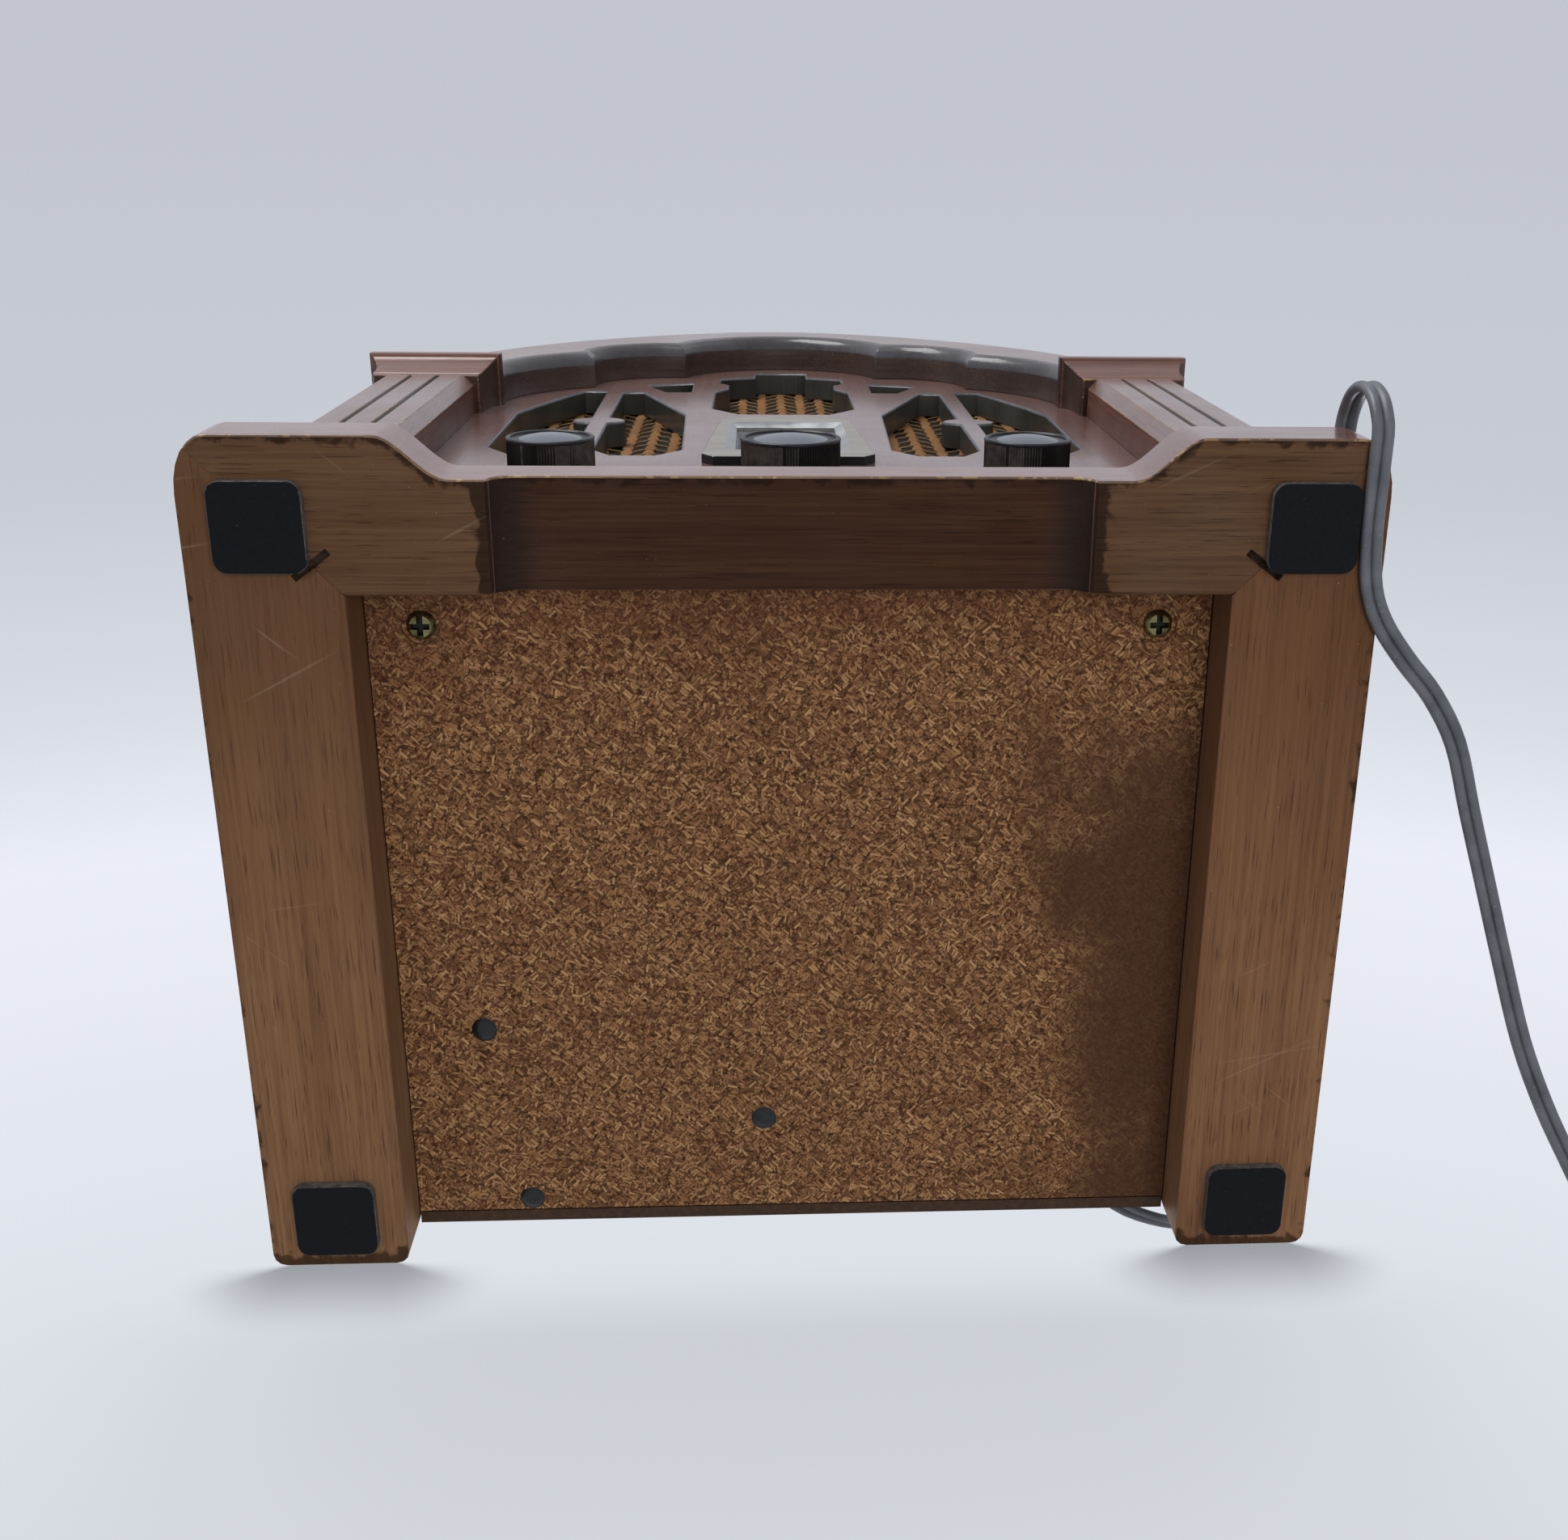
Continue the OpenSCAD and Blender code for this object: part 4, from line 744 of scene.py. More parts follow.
# Height and set-back along the capital, in millimetres: a bead, a tall cove and the thin slab.
CAP_STEPS = [(0, 4.4), (0.3, 4.2), (1, 3.9), (1.7, 4), (2, 3.8)]
CAP_STEPS += [(2 + 15.5 * math.sin(math.radians(a)), 0.5 + 3.3 * math.cos(math.radians(a)))
              for a in range(10, 91, 10)]
CAP_STEPS += [(17.7, 0.2), (18.2, 0), (21.5, 0)]


def arch_top(x, inset):
    """Height of the cabinet's arch above a place across it, drawn in by inset."""
    x = abs(x)
    side = SPRING_Z + math.sqrt(max(0.0, (SIDE_R - inset) ** 2 - (x - SIDE_CX) ** 2))
    crown = CROWN_CZ + math.sqrt(max(0.0, (CROWN_R - inset) ** 2 - x * x))
    return crown if x < (CROWN_R - inset) * -SIDE_CX / (SIDE_R - CROWN_R) else side


def in_moulding(face):
    """Faces of the cove and of the scalloped wall, which look inwards."""
    mid = face.calc_center_median()
    return face.normal.dot(Vector((-mid.x, 0, ARCH_MID_Z - mid.z)).normalized()) > 0.15


def in_wall(face):
    """Faces of the scalloped wall below the cove."""
    return in_moulding(face) and abs(face.normal.y) < 0.25


def in_opening(face):
    mid = face.calc_center_median()
    inside = abs(mid.x) < GRILLE_W and GRILLE_Z < mid.z < arch_top(mid.x, GRILLE_IN)
    return abs(face.normal.y) < 0.3 and inside


def on_column_side(face):
    """The side of a column that looks to the middle of the front."""
    return face.normal.x * face.calc_center_median().x < 0 and abs(face.normal.x) > 0.9


def in_groove(face):
    off = abs(abs(face.calc_center_median().x) - COLUMN_X)
    return 0.2 < -face.normal.y < 0.9 and off < GROOVES_W


def capital(side):
    bm = bmesh.new()
    middle = COLUMN_X if side == "right" else -COLUMN_X
    loops = []
    for up, back in CAP_STEPS:
        w, y, z = CAP_HALF - back * MM, PANEL_Y - CAP_FRONT + back * MM, CAP_Z + up * MM
        corners = ((-w, y), (w, y), (w, PANEL_Y), (-w, PANEL_Y))
        loops.append([bm.verts.new((middle + x, y, z)) for x, y in corners])
    skin(bm, loops)
    bmesh.ops.recalc_face_normals(bm, faces=bm.faces)
    worn = []
    for edge in bm.edges:
        a, b = edge.verts[0].co, edge.verts[1].co
        if abs(a.z - b.z) > LEVEL:
            if edge.calc_face_angle(0) > CAP_CORNER and a.y < PANEL_Y - MM:
                worn.append(edge)
        elif abs(a.z - CAP_Z - CAP_H / 2) > CAP_H / 2 - 0.1 * MM and min(a.y, b.y) < PANEL_Y - MM:
            worn.append(edge)
    # Painted shade: the underside and the sides take the darker wood.
    for face in bm.faces:
        below = face.normal.z < -0.95 and face.calc_center_median().z < CAP_Z + MM
        if below or abs(face.normal.x) > 0.5:
            face.material_index = INSIDE
    round_edges(bm, worn, 0.25 * MM, 2, CUT_EDGE)
    stand_in(bm, "capital_" + side, "_moulded", capital_woods, sharp=CAP_SHARP)


def fret_panel():
    bm = solid_of("fret_panel")
    for face in bm.faces:
        face.material_index = INSIDE if in_opening(face) else 0
    # The rounded rims take the pale material, a painted highlight.
    rims = [e for e in sharp_edges(bm) if max(v.co.y for v in e.verts) < PANEL_Y + 0.1 * MM
            and any(face.material_index == INSIDE for face in e.link_faces)]
    round_edges(bm, rims, 0.6 * MM, 2, CUT_EDGE, clamp=False)
    stand_in(bm, "fret_panel", "_finished", panel_woods)


for side in ("left", "right"):
    dressed("column_" + side, column_woods, 0.15 * MM, 1, CUT_EDGE,
            marks={INSIDE: in_groove, 3: on_column_side})
    capital(side)
dressed("arch_frame", arch_woods, marks={1: in_moulding, 2: in_wall})
fret_panel()
dressed("cabinet_shell", shell_woods, 0.5 * MM, 2, CUT_EDGE)
dressed("bottom_board", [flake_board()], 0.3 * MM)
dressed("foot_pads", [plain_plastic("pad_foam", "#0d0e11", "#15171a", 0.7, 900, 0.0001, 0.14),
                      plain_plastic("pad_side", "#403e3c", "#67635e", 0.9, 700, 0.0002)],
        0.35 * MM, 3, marks={1: lambda face: abs(face.normal.z) < 0.5})
hardboard = plain_plastic("hardboard", "#33241a", "#4a3626", 0.8, 700, 0.0001)
dressed("back_cover", [hardboard], 0.25 * MM)
coated(hardboard, "baffle_board")
coated(raw_wood("block_wood", "z"), "glue_blocks")

# Grille cloth: a dark ground sheet with thick cords and thin threads woven across them.
CLOTH_IN = 8 * MM
cloth_low, cloth_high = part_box("grille_cloth")
CLOTH_Y = (cloth_low.y + cloth_high.y) / 2
GROUND_STEPS = 80
CORD_PITCH, CORD_W, CORD_HALF_T, CORD_STEP = 6.4 * MM, 3.3 * MM, 0.48 * MM, 1.4 * MM
CORD_SIDES, CORD_PINCH, CORD_SWAY = 10, 0.34, 0.3 * MM
ROW_PITCH, ROW_CLEAR = 8.4 * MM, 3 * MM
THREAD_HALF_W, THREAD_HALF_T, THREAD_STEP, THREAD_SIDES = 0.36 * MM, 0.26 * MM, 0.8 * MM, 6
# How far a thread goes to the front and up, in waves, as it passes from cord to cord.
WAVE_Y, WAVE_Z = 0.34 * MM, 0.5 * MM
scale_low, scale_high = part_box("dial_scale")
CUT_X = scale_high.x + 0.5 * MM
CUT_LOW, CUT_HIGH = scale_low.z - 0.5 * MM, scale_high.z + 0.5 * MM


def oval_run(bm, line, half_w, half_t, sides, upright, pinch=None):
    """A flat oval tube along a line that runs up or across."""
    loops = []
    for p in line:
        wide = half_w * (pinch(p) if pinch else 1)
        loop = []
        for k in range(sides):
            turn = 2 * math.pi * k / sides
            out, front = wide * math.cos(turn), half_t * math.sin(turn)
            loop.append(bm.verts.new(p + Vector((out, front, 0) if upright else (0, front, out))))
        loops.append(loop)
    skin(bm, loops)


def pinched(point):
    """How wide a cord is at a point: narrower where a cross thread lies."""
    at_row = 0.5 + 0.5 * math.cos(2 * math.pi * (point.z - cloth_low.z) / ROW_PITCH)
    return 1 - CORD_PINCH * at_row**2


def spans(start, end, cut_from, cut_to):
    """The parts of a run from start to end that stay outside the cut."""
    parts = [(start, min(end, cut_from)), (max(start, cut_to), end)]
    return [(a, b) for a, b in parts if b - a > 2 * MM]


def stops(low, high, pitch):
    """Places from low to high, at most about one pitch apart."""
    count = max(4, int((high - low) / pitch))
    return [low + (high - low) * k / count for k in range(count + 1)]


def cloth_ground():
    bm = bmesh.new()
    reach = cloth_high.x - 0.01 * MM
    edges = [-reach + 2 * reach * i / GROUND_STEPS for i in range(GROUND_STEPS + 1)]
    edges = sorted(edges + [-CUT_X, CUT_X])
    back = cloth_high.y - 0.1 * MM
    rows = []
    for x in edges:
        top = max(cloth_low.z + MM, arch_top(x, CLOTH_IN))
        levels = (cloth_low.z, CUT_LOW, CUT_HIGH, top)
        rows.append([bm.verts.new((x, back, min(z, top))) for z in levels])
    for (x0, x1), a, b in zip(zip(edges, edges[1:]), rows, rows[1:]):
        for k in range(3):
            if not (k == 1 and abs(x0 + x1) / 2 < CUT_X):
                bm.faces.new((a[k], b[k], b[k + 1], a[k + 1]))
    return bm


def grille_cords(bm, reach):
    foot = cloth_low.z + MM
    count = int(reach / CORD_PITCH)
    for i in range(-count, count + 1):
        x = i * CORD_PITCH
        top = arch_top(abs(x) + CORD_W / 2, CLOTH_IN) - MM
        cut = abs(x) < CUT_X + CORD_W / 2
        for low, high in spans(foot, top, CUT_LOW, CUT_HIGH) if cut else [(foot, top)]:
            line = []
            for k, z in enumerate(stops(low, high, CORD_STEP)):
                sway = CORD_SWAY * noise.noise(Vector((x * 300, k * 0.3, 1.7)))
                line.append(Vector((x + sway, CLOTH_Y, z)))
            oval_run(bm, line, CORD_W / 2, CORD_HALF_T, CORD_SIDES, True, pinched)


def grille_threads(bm, reach):
    z = cloth_low.z + ROW_PITCH
    while z < cloth_high.z - ROW_CLEAR:
        under_arch = [x * MM for x in range(104) if arch_top(x * MM, CLOTH_IN) > z + ROW_CLEAR]
        wide = min(max(under_arch + [0]), reach)
        cut = CUT_LOW - MM < z < CUT_HIGH + MM
        for low, high in spans(-wide, wide, -CUT_X, CUT_X) if cut else [(-wide, wide)]:
            line = []
            for x in stops(low, high, THREAD_STEP):
                wave = math.cos(math.pi * x / CORD_PITCH)
                line.append(Vector((x, CLOTH_Y - WAVE_Y * wave, z + WAVE_Z * wave)))
            oval_run(bm, line, THREAD_HALF_W, THREAD_HALF_T, THREAD_SIDES, False)
        z += ROW_PITCH


def grille_cloth():
    reach = cloth_high.x - 2 * MM
    bm = cloth_ground()
    area = sum(f.calc_area() for f in bm.faces)
    ground = plain_plastic("ground_weave", "#0b0a0a", "#1a1512", 0.9, 900)
    sheet = piece(bm, "grille_ground", "cabinet", [ground], "grille_cloth", ["grille_cloth"],
                  smooth=False)
    cords, threads = bmesh.new(), bmesh.new()
    grille_cords(cords, reach)
    grille_threads(threads, reach)
    for made in (cords, threads):
        bmesh.ops.recalc_face_normals(made, faces=made.faces)
    cord = cord_cloth("grille_cord", "#4c301d", "#845a38", "#a87d52")
    thread = cord_cloth("grille_thread", "#5c3f24", "#8d6840", "#b08c5c", 2500)
    warp = piece(cords, "grille_cords", "cabinet", [cord], "grille_cloth")
    weft = piece(threads, "grille_threads", "cabinet", [thread], "grille_cloth")


grille_cloth()

# Dial: plate, window, scale with its ticks and numbers, pulley and thread.
PLATE_HALF, PLATE_LOW, PLATE_HIGH = 17.2 * MM, 83 * MM, 142 * MM
PIVOT_Z = 108 * MM
INK_Y = scale_low.y - 0.03 * MM
AM_NUMBERS = {-90: "55", -50: "65", -25: "80", 0: "100", 25: "120", 50: "140", 90: "160"}
FM_NUMBERS = {-30: "88", -15: "92", 0: "96", 15: "102", 30: "108"}
TICK_TURN, TICK_W, TICK_R, TICK_LONG, TICK_SHORT = 4.5, 0.25 * MM, 9.4 * MM, 2.2 * MM, 1.2 * MM
AM_SIZE, AM_R, AM_LEVEL_R, AM_DROP = 2.7 * MM, 13.8 * MM, 10.2 * MM, 2.6 * MM
FM_SIZE, FM_R, FM_TICK_R, FM_TICK_L = 2.3 * MM, 20.5 * MM, 17.8 * MM, 1.4 * MM
plate_paint = Finish("plate_paint", roughness=0.36, metallic=0.55)
plate_lines = plate_paint.grain(1200, stretch=(0.05, 1, 1))
plate_paint.coloured(plate_paint.tones(plate_lines, "#8b867e", "#aca79e"))
plate_paint.bump(plate_lines, 0.00002)
plate_side = plain_plastic("plate_side", "#101113", "#1d1f21", 0.35)
plate_bevel = metal("plate_bevel", "#9fa2a2", "#c6c8c8", 0.32, scale=120)


def on_plate_side(face):
    mid = face.calc_center_median()
    outside = abs(mid.x) > PLATE_HALF or mid.z < PLATE_LOW or mid.z > PLATE_HIGH
    return abs(face.normal.y) < 0.3 and outside


def on_plate_bevel(face):
    return 0.3 < -face.normal.y < 0.95


def to_front(at):
    """Turns what was made along the upright axis to the front and carries it to a place."""
    return Matrix.Translation(at) @ Matrix.Rotation(math.radians(90), 4, "X")


def on_arc(r, angle):
    return r * math.sin(angle), PIVOT_Z + r * math.cos(angle)


def add_number(bm, text, size, x, z):
    curve = bpy.data.curves.new("number", "FONT")
    curve.resolution_u = 3
    curve.body, curve.size, curve.extrude, curve.offset = text, size, 0.02 * MM, 0.05 * MM
    curve.align_x = curve.align_y = "CENTER"
    holder = bpy.data.objects.new("number", curve)
    mesh = bpy.data.meshes.new_from_object(holder)
    mesh.transform(to_front((x, INK_Y, z)))
    bm.from_mesh(mesh)
    bpy.data.objects.remove(holder)
    bpy.data.curves.remove(curve)
    bpy.data.meshes.remove(mesh)


def add_bar(bm, x, z, wide, tall, lean):
    place = Matrix.Translation((x, INK_Y, z)) @ Matrix.Rotation(lean, 4, "Y")
    box = Matrix.Diagonal((wide, 0.04 * MM, tall, 1))
    bmesh.ops.create_cube(bm, size=1, matrix=place @ box)


def printed_scale():
    """Ticks on an arc round the spindle, a row of numbers outside them and one farther up."""
    bm = bmesh.new()
    for step in range(-20, 21):
        angle = math.radians(TICK_TURN * step)
        tall = TICK_LONG if step % 5 == 0 else TICK_SHORT
        add_bar(bm, *on_arc(TICK_R + tall / 2, angle), TICK_W, tall, angle)
    for degrees, text in AM_NUMBERS.items():
        level = abs(degrees) == 90
        x, z = on_arc(AM_LEVEL_R if level else AM_R, math.radians(degrees))
        add_number(bm, text, AM_SIZE, x, z - (AM_DROP if level else 0))
    for degrees, text in FM_NUMBERS.items():
        angle = math.radians(degrees)
        add_number(bm, text, FM_SIZE, *on_arc(FM_R, angle))
        add_bar(bm, *on_arc(FM_TICK_R, angle), TICK_W, FM_TICK_L, angle)
    for side in (-1, 1):
        add_bar(bm, side * 6.4 * MM, scale_high.z - 6.2 * MM, 0.9 * MM, 3.6 * MM, 0)
    ink = plain_plastic("scale_ink", "#17161a", "#25242a", 0.6)
    piece(bm, "scale_print", "cabinet", [ink], "dial_card", smooth=False)


dressed("dial_escutcheon", [plate_paint.material, plate_side, plate_bevel], 0.15 * MM, 1,
        marks={1: on_plate_side, 2: on_plate_bevel})
coated(window_glass(), "dial_window")
scale_card = Finish("scale_card", roughness=0.6)
scale_card.coloured(scale_card.tones(scale_card.grain(70), "#efe9d8", "#fbf7ea"))
coated(scale_card.material, "dial_scale")
printed_scale()
coated(plain_plastic("drive_plastic", "#c9c1a8", "#dcd5c0", 0.5), "dial_pulley", "rod_holders")
coated(cord_cloth("drive_thread", "#b2a67e", "#cfc49c", "#e2d9ba", 3000), "dial_cord")

# Knobs: finely ribbed skirts, a glossy bead and a domed cap sunk inside it.
KNOB_BACK, KNOB_L, KNOB_Z = -79.5 * MM, 11 * MM, 52.5 * MM
BEAD_R, SINK, RIB_H = 0.5 * MM, 1 * MM, 0.28 * MM
BEAD = 2
# Each knob's place across and its width, in millimetres, and how many ribs it has.
KNOBS = {"tuning": (0, 23, 110), "volume": (-55, 20, 96), "band": (55, 20, 96)}
knob_plastics = [plain_plastic("knob_black", "#100f10", "#1b1918", 0.34, 200, 0.00002),
                 # Lighter rib faces: partly dust, partly a painted highlight.
                 plain_plastic("rib_dust_and_highlight", "#37322f", "#544d48", 0.75, 500, 0.00002, 0.15),
                 plain_plastic("bead_black", "#15171a", "#22252a", 0.3, 200, 0.00001)]
cap_finish = Finish("knob_cap_finish", roughness=0.3, Coat_Weight=0.5, Coat_Roughness=0.22)
cap_finish.coloured(cap_finish.tones(cap_finish.grain(90), "#40454e", "#525862"))


def spun(bm, points, steps):
    """A ring turned about the upright axis from a profile of (radius, height) points."""
    verts = [bm.verts.new((r, 0, h)) for r, h in points]
    edges = [bm.edges.new(pair) for pair in zip(verts, verts[1:])]
    bmesh.ops.spin(bm, geom=verts + edges, cent=(0, 0, 0), axis=(0, 0, 1), angle=math.tau,
                   steps=steps, use_merge=True)


def ribbed_knob(control, x, diameter, ribs):
    bm = bmesh.new()
    radius = diameter / 2
    ring = bmesh.ops.create_circle(bm, segments=2 * ribs, radius=radius, cap_ends=True)["verts"]
    for k, vert in enumerate(ring):
        vert.co *= 1 if k % 2 else 1 - RIB_H / radius
    up = bmesh.ops.extrude_face_region(bm, geom=bm.faces[:])["geom"]
    bmesh.ops.translate(bm, vec=(0, 0, KNOB_L - BEAD_R),
                        verts=[g for g in up if isinstance(g, bmesh.types.BMVert)])
    # Every other rib face takes the lighter material: partly dust, partly a painted highlight.
    for k, face in enumerate(f for f in bm.faces if abs(f.normal.z) < 0.5):
        face.material_index = k % 2
    skirt_count = len(bm.faces)
    rim, shoulder = radius - BEAD_R + 0.1 * MM, KNOB_L - BEAD_R
    turns = [math.radians(a) for a in range(-90, 91, 15)]
    profile = [(rim + BEAD_R * math.cos(a), shoulder + BEAD_R * math.sin(a)) for a in turns]
    inner = radius - 2 * BEAD_R
    profile += [(inner + 0.25 * MM, KNOB_L - 0.05 * MM), (inner, KNOB_L - 0.3 * MM),
                (inner - 0.1 * MM, KNOB_L - SINK), (0.05 * MM, KNOB_L - SINK)]
    spun(bm, profile, 96)
    bm.faces.ensure_lookup_table()
    for face in bm.faces[skirt_count:]:
        face.material_index = BEAD
    bmesh.ops.recalc_face_normals(bm, faces=bm.faces)
    bmesh.ops.transform(bm, matrix=to_front((x, KNOB_BACK, KNOB_Z)), verts=bm.verts)
    stand_in(bm, control + "_knob", "_ribbed", knob_plastics)
    dressed(control + "_knob_cap", [cap_finish.material], 0.15 * MM)


for control, (x, diameter, ribs) in KNOBS.items():
    ribbed_knob(control, x * MM, diameter * MM, ribs)

# Works: shafts, sheet metal, laminates and wound parts, and the pointer on its pulley.
coated(metal("turned_steel", "#8f9092", "#b5b6b8", 0.3, (1, 0.05, 1)),
       "tuning_spindle", "volume_shaft", "band_shaft")
coated(metal("zinc_sheet", "#8a8c8b", "#abadab", 0.4),
       "chassis", "capacitor_bracket", "volume_control")
for name, first, second, roughness, node in (
        ("switch_laminate", "#6f5426", "#8a6b35", 0.6, "band_switch"),
        ("capacitor_case", "#b9b5a6", "#cfcbbd", 0.45, "tuning_capacitor"),
        ("circuit_laminate", "#5c3d18", "#75511f", 0.5, "circuit_board"),
        ("small_parts", "#1e2430", "#39404e", 0.4, "board_parts"),
        ("ferrite", "#242427", "#323236", 0.6, "ferrite_rod"),
        ("magnet_paint", "#1b1d20", "#2a2c30", 0.5, "speaker_magnet"),
        ("pointer_red", "#8f1f14", "#b23325", 0.35, "dial_pointer")):
    coated(plain_plastic(name, first, second, roughness), node)
coated(metal("core_sheets", "#2e3032", "#47494b", 0.5, (1, 1, 0.05)), "transformer_core")
coated(metal("coil_wire", "#7a3d18", "#b0652c", 0.35, (1, 1, 0.02)), "transformer_coil")
coated(metal("basket_steel", "#55585b", "#6c6f72", 0.45), "speaker_basket")
coated(plain_plastic("cone_pulp", "#131313", "#1f1e1d", 0.9, 600, 0.0001), "speaker_cone")
dressed("bottom_rivets", [plain_plastic("rivet_black", "#141618", "#24272a", 0.3)], 0)

# Screws: domed zinc heads with a cross recess in near black, painted shade.
BACK_SCREWS = [(100.6, 210.45), (40.16, 285.09), (0, 299.57), (-40.16, 285.09),
               (-100.6, 210.45), (-109.5, 45), (-109.5, 110), (109.5, 45), (109.5, 110)]
RECESS = 1
screw_metals = [metal("zinc_yellow", "#5d573b", "#9d9768", 0.36),
                plain_plastic("screw_recess_shade", "#15140f", "#26241a", 0.6)]


def pointing(at, out):
    """Turns what was made along the upright axis to look along out, at a place."""
    turn = Vector((0, 0, 1)).rotation_difference(out).to_matrix().to_4x4()
    return Matrix.Translation(at) @ turn


def cross_head(bm, at, out, radius, dome):
    """A domed head with a cross recess, looking along out."""
    arm, reach, deep = 0.2 * radius, 0.62 * radius, 0.75 * dome
    quarter = [(arm, arm), (arm, reach), (-arm, reach)]
    corners = quarter + [(-y, x) for x, y in quarter]
    corners += [(-x, -y) for x, y in corners]
    floor = [bm.verts.new((x * 0.8, y * 0.8, dome - deep)) for x, y in corners]
    rings = [[bm.verts.new((x, y, dome)) for x, y in corners]]
    for r, h in ((0.74, 0.86), (0.93, 0.5), (1, 0.2), (1, 0)):
        angles = [math.atan2(y, x) for x, y in corners]
        rings.append([bm.verts.new((r * radius * math.cos(a), r * radius * math.sin(a), h * dome))
                      for a in angles])
    # Painted shade: the recess takes the near-black material.
    for face in [bm.faces.new(floor)] + skin(bm, [floor, rings[0]], ends=False):
        face.material_index = RECESS
    skin(bm, rings, ends=False)
    bmesh.ops.transform(bm, matrix=pointing(at, out), verts=sum(rings, floor))


def screws(node, spots, out, radius, dome, shank_r, shank_l):
    bm = bmesh.new()
    for spot in spots:
        at = Vector(spot) * MM
        cross_head(bm, at, out, radius, dome)
        bmesh.ops.create_cone(bm, cap_ends=True, segments=16, radius1=shank_r, radius2=shank_r,
                              depth=shank_l, matrix=pointing(at - out * shank_l / 2, out))
    bmesh.ops.recalc_face_normals(bm, faces=bm.faces)
    stand_in(bm, node, "_crossed", screw_metals)


screws("bottom_screws", [(x, -55, 18.5) for x in (-81, 81)], Vector((0, 0, -1)),
       radius=3.3 * MM, dome=2 * MM, shank_r=1.6 * MM, shank_l=20.5 * MM)
screws("back_screws", [(x, 96.5, z) for x, z in BACK_SCREWS], Vector((0, 1, 0)),
       radius=2.4 * MM, dome=1.5 * MM, shank_r=1.3 * MM, shank_l=13 * MM)


# Light: a soft key in front, a fill under the floor, one above, one behind, and a pale world.
def lamp(name, at, aim, size, power, glints=True):
    data = bpy.data.lights.new(name, "AREA")
    data.shape = "DISK"
    data.size = size
    data.energy = power
    obj = bpy.data.objects.new(name, data)
    obj.location = at
    obj.rotation_mode = "QUATERNION"
    obj.rotation_quaternion = (Vector(aim) - Vector(at)).to_track_quat("-Z", "Y")
    obj.visible_glossy = glints
    bpy.context.scene.collection.objects.link(obj)


lamp("key", (-0.5, -1.25, 0.3), (0, 0, 0.1), size=0.9, power=15)
lamp("camera_fill", (0.25, -0.35, -1.2), (0, 0, 0), size=0.8, power=7, glints=False)
lamp("top_soft", (-0.6, 0.55, 1.4), (0, 0, 0.15), size=1.0, power=14)
lamp("back_soft", (0.7, 1.2, 0.9), (0, 0, 0.15), size=0.9, power=8)

# The backdrop's colours by how far the view points back, and the one that it fades to upwards.
SWEEP = [(0.0, "#c3c6cf"), (0.17, "#c8ccd5"), (0.28, "#d9dde6"), (0.35, "#ebeef8"),
         (0.43, "#e6e9f2"), (0.51, "#e0e4ec"), (0.6, "#dbdfe6"), (0.7, "#d5d9df")]
HORIZON = "#d5d8df"
ROOM_LIGHT = 0.42


def pale_world():
    world = bpy.data.worlds.new("pale_world")
    bpy.context.scene.world = world
    world.use_nodes = True
    sky = Graph(world.node_tree)
    sky.nodes.clear()
    way = sky.add("SeparateXYZ", Vector=sky.add("TexCoord").outputs["Generated"])
    up = sky.step(way.outputs[2], 0.2, 0.7)
    backdrop = sky.mix(up, HORIZON, sky.ramp(way.outputs[1], *SWEEP))
    seen = sky.add("Background", Color=backdrop, Strength=1.0)
    room = sky.add("Background", Color="#f2f4f8", Strength=ROOM_LIGHT)
    path = sky.add("LightPath").outputs
    either = sky.math("MAXIMUM", path["Is Camera Ray"], path["Is Glossy Ray"])
    either = sky.math("MAXIMUM", either, path["Is Transmission Ray"])
    sky.mix_shaders(either, room, seen, sky.add("OutputWorld"))


pale_world()


# Stage: a floor that shows from above only, and a film with the soft shadow behind the rails.
FLOOR_HALF, FLOOR_FADE = 6, (0.45, 1.5)
FILM_HALF, FILM_Y, FILM_TOP = 0.4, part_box("back_screws")[1].y + 0.001, 0.0046
RAIL_IN, RAIL_OUT = 0.097, 0.121


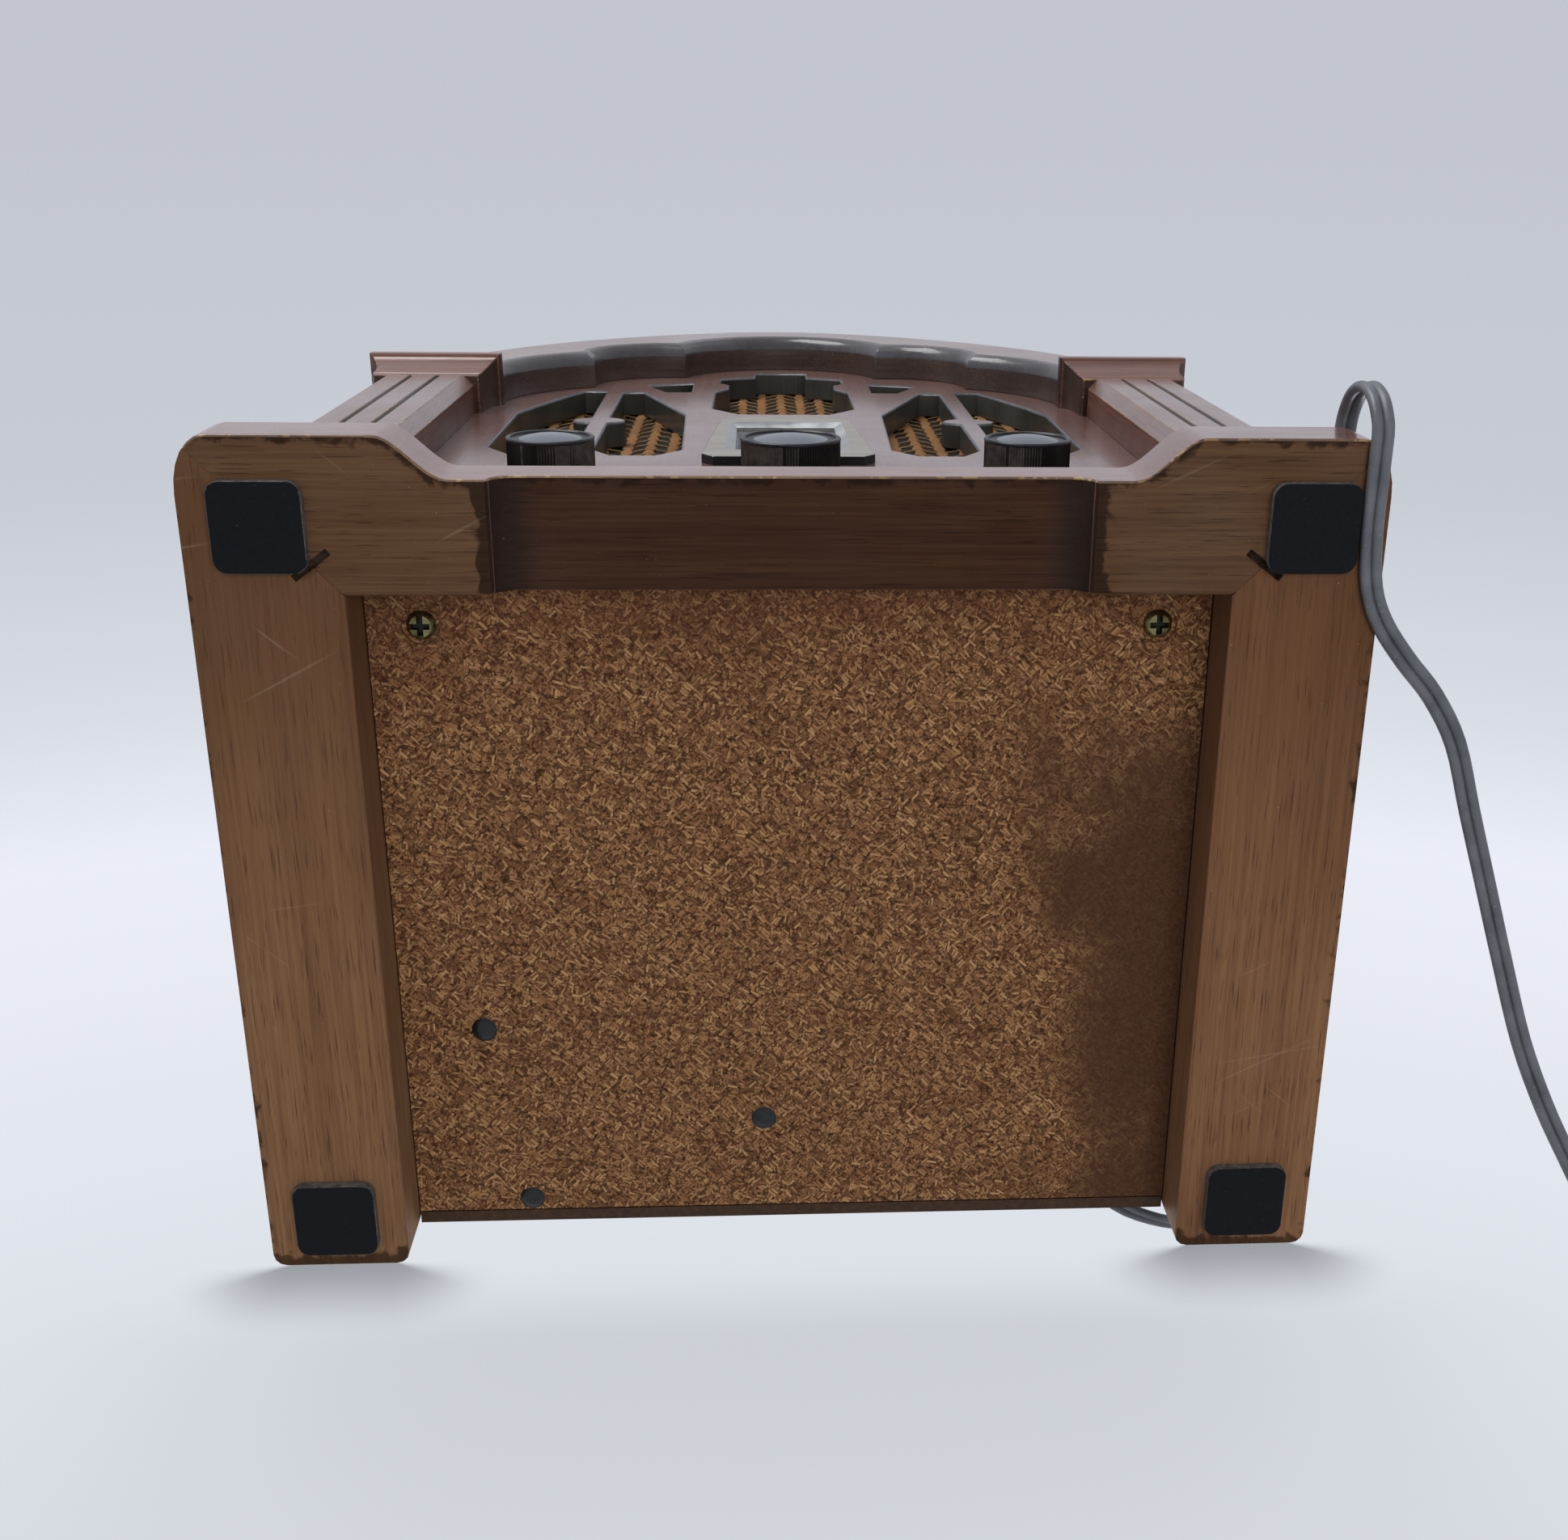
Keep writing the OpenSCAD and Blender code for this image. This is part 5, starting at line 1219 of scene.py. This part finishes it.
def stage_plane(name, half, place, finish):
    bm = bmesh.new()
    bmesh.ops.create_grid(bm, x_segments=1, y_segments=1, size=half, matrix=place)
    obj = new_object(name, bm, [finish.material])
    obj.visible_diffuse = False
    obj.visible_glossy = False
    obj.visible_transmission = False
    obj.visible_shadow = False


def make_floor():
    finish = Finish("pale_floor", "#d4d7de", 0.9)
    away = finish.add("VectorMath", Vector=finish.here)
    away.operation = "LENGTH"
    far = finish.step(away.outputs["Value"], *FLOOR_FADE)
    finish.coloured(finish.mix(far, "#d4d7de", "#000000"))
    finish.feed(finish.shader.inputs["Emission Color"], HORIZON)
    finish.feed(finish.shader.inputs["Emission Strength"], far)
    finish.feed(finish.shader.inputs["Specular IOR Level"], 0.0)
    above = finish.math("SUBTRACT", 1.0, finish.add("NewGeometry").outputs["Backfacing"])
    finish.mix_shaders(above, finish.add("BsdfTransparent"), finish.shader,
                       finish.nodes["Material Output"])
    stage_plane("floor", FLOOR_HALF, Matrix(), finish)


def make_shadow():
    """A clear film behind the radio that darkens what is seen close behind the rails."""
    finish = Finish("soft_shadow")
    across = finish.math("ABSOLUTE", finish.along(0))
    below = finish.math("MULTIPLY", finish.along(2), -1.0)
    beside = finish.math("MAXIMUM", finish.math("SUBTRACT", across, RAIL_OUT),
                         finish.math("SUBTRACT", RAIL_IN, across))
    beside = finish.math("MAXIMUM", beside, 0.0)
    depth = finish.math("ADD", below, FILM_TOP)
    squares = finish.math("ADD", finish.times(beside, beside), finish.times(depth, depth))
    reach = finish.math("SQRT", squares)
    start = finish.math("DIVIDE", depth, finish.math("ADD", finish.times(beside, 0.7), 0.0004))
    near = finish.times(finish.step(reach, 0.03, 0.0), finish.step(start, 0.0, 1.0))
    wide = finish.times(finish.step(below, -0.002, 0.03), finish.step(below, 0.14, 0.02),
                        finish.step(across, 0.2, 0.06))
    dark = finish.math("ADD", finish.times(near, 0.55), finish.times(wide, 0.15))
    clear = finish.add("BsdfTransparent", Color=finish.mix(dark, "#ffffff", "#000000"))
    output = finish.nodes["Material Output"]
    finish.links.new(clear.outputs[0], output.inputs["Surface"])
    stage_plane("soft_shadow", FILM_HALF, to_front((0, FILM_Y, 0)), finish)


make_floor()
make_shadow()

bpy.context.scene.view_settings.view_transform = "Standard"
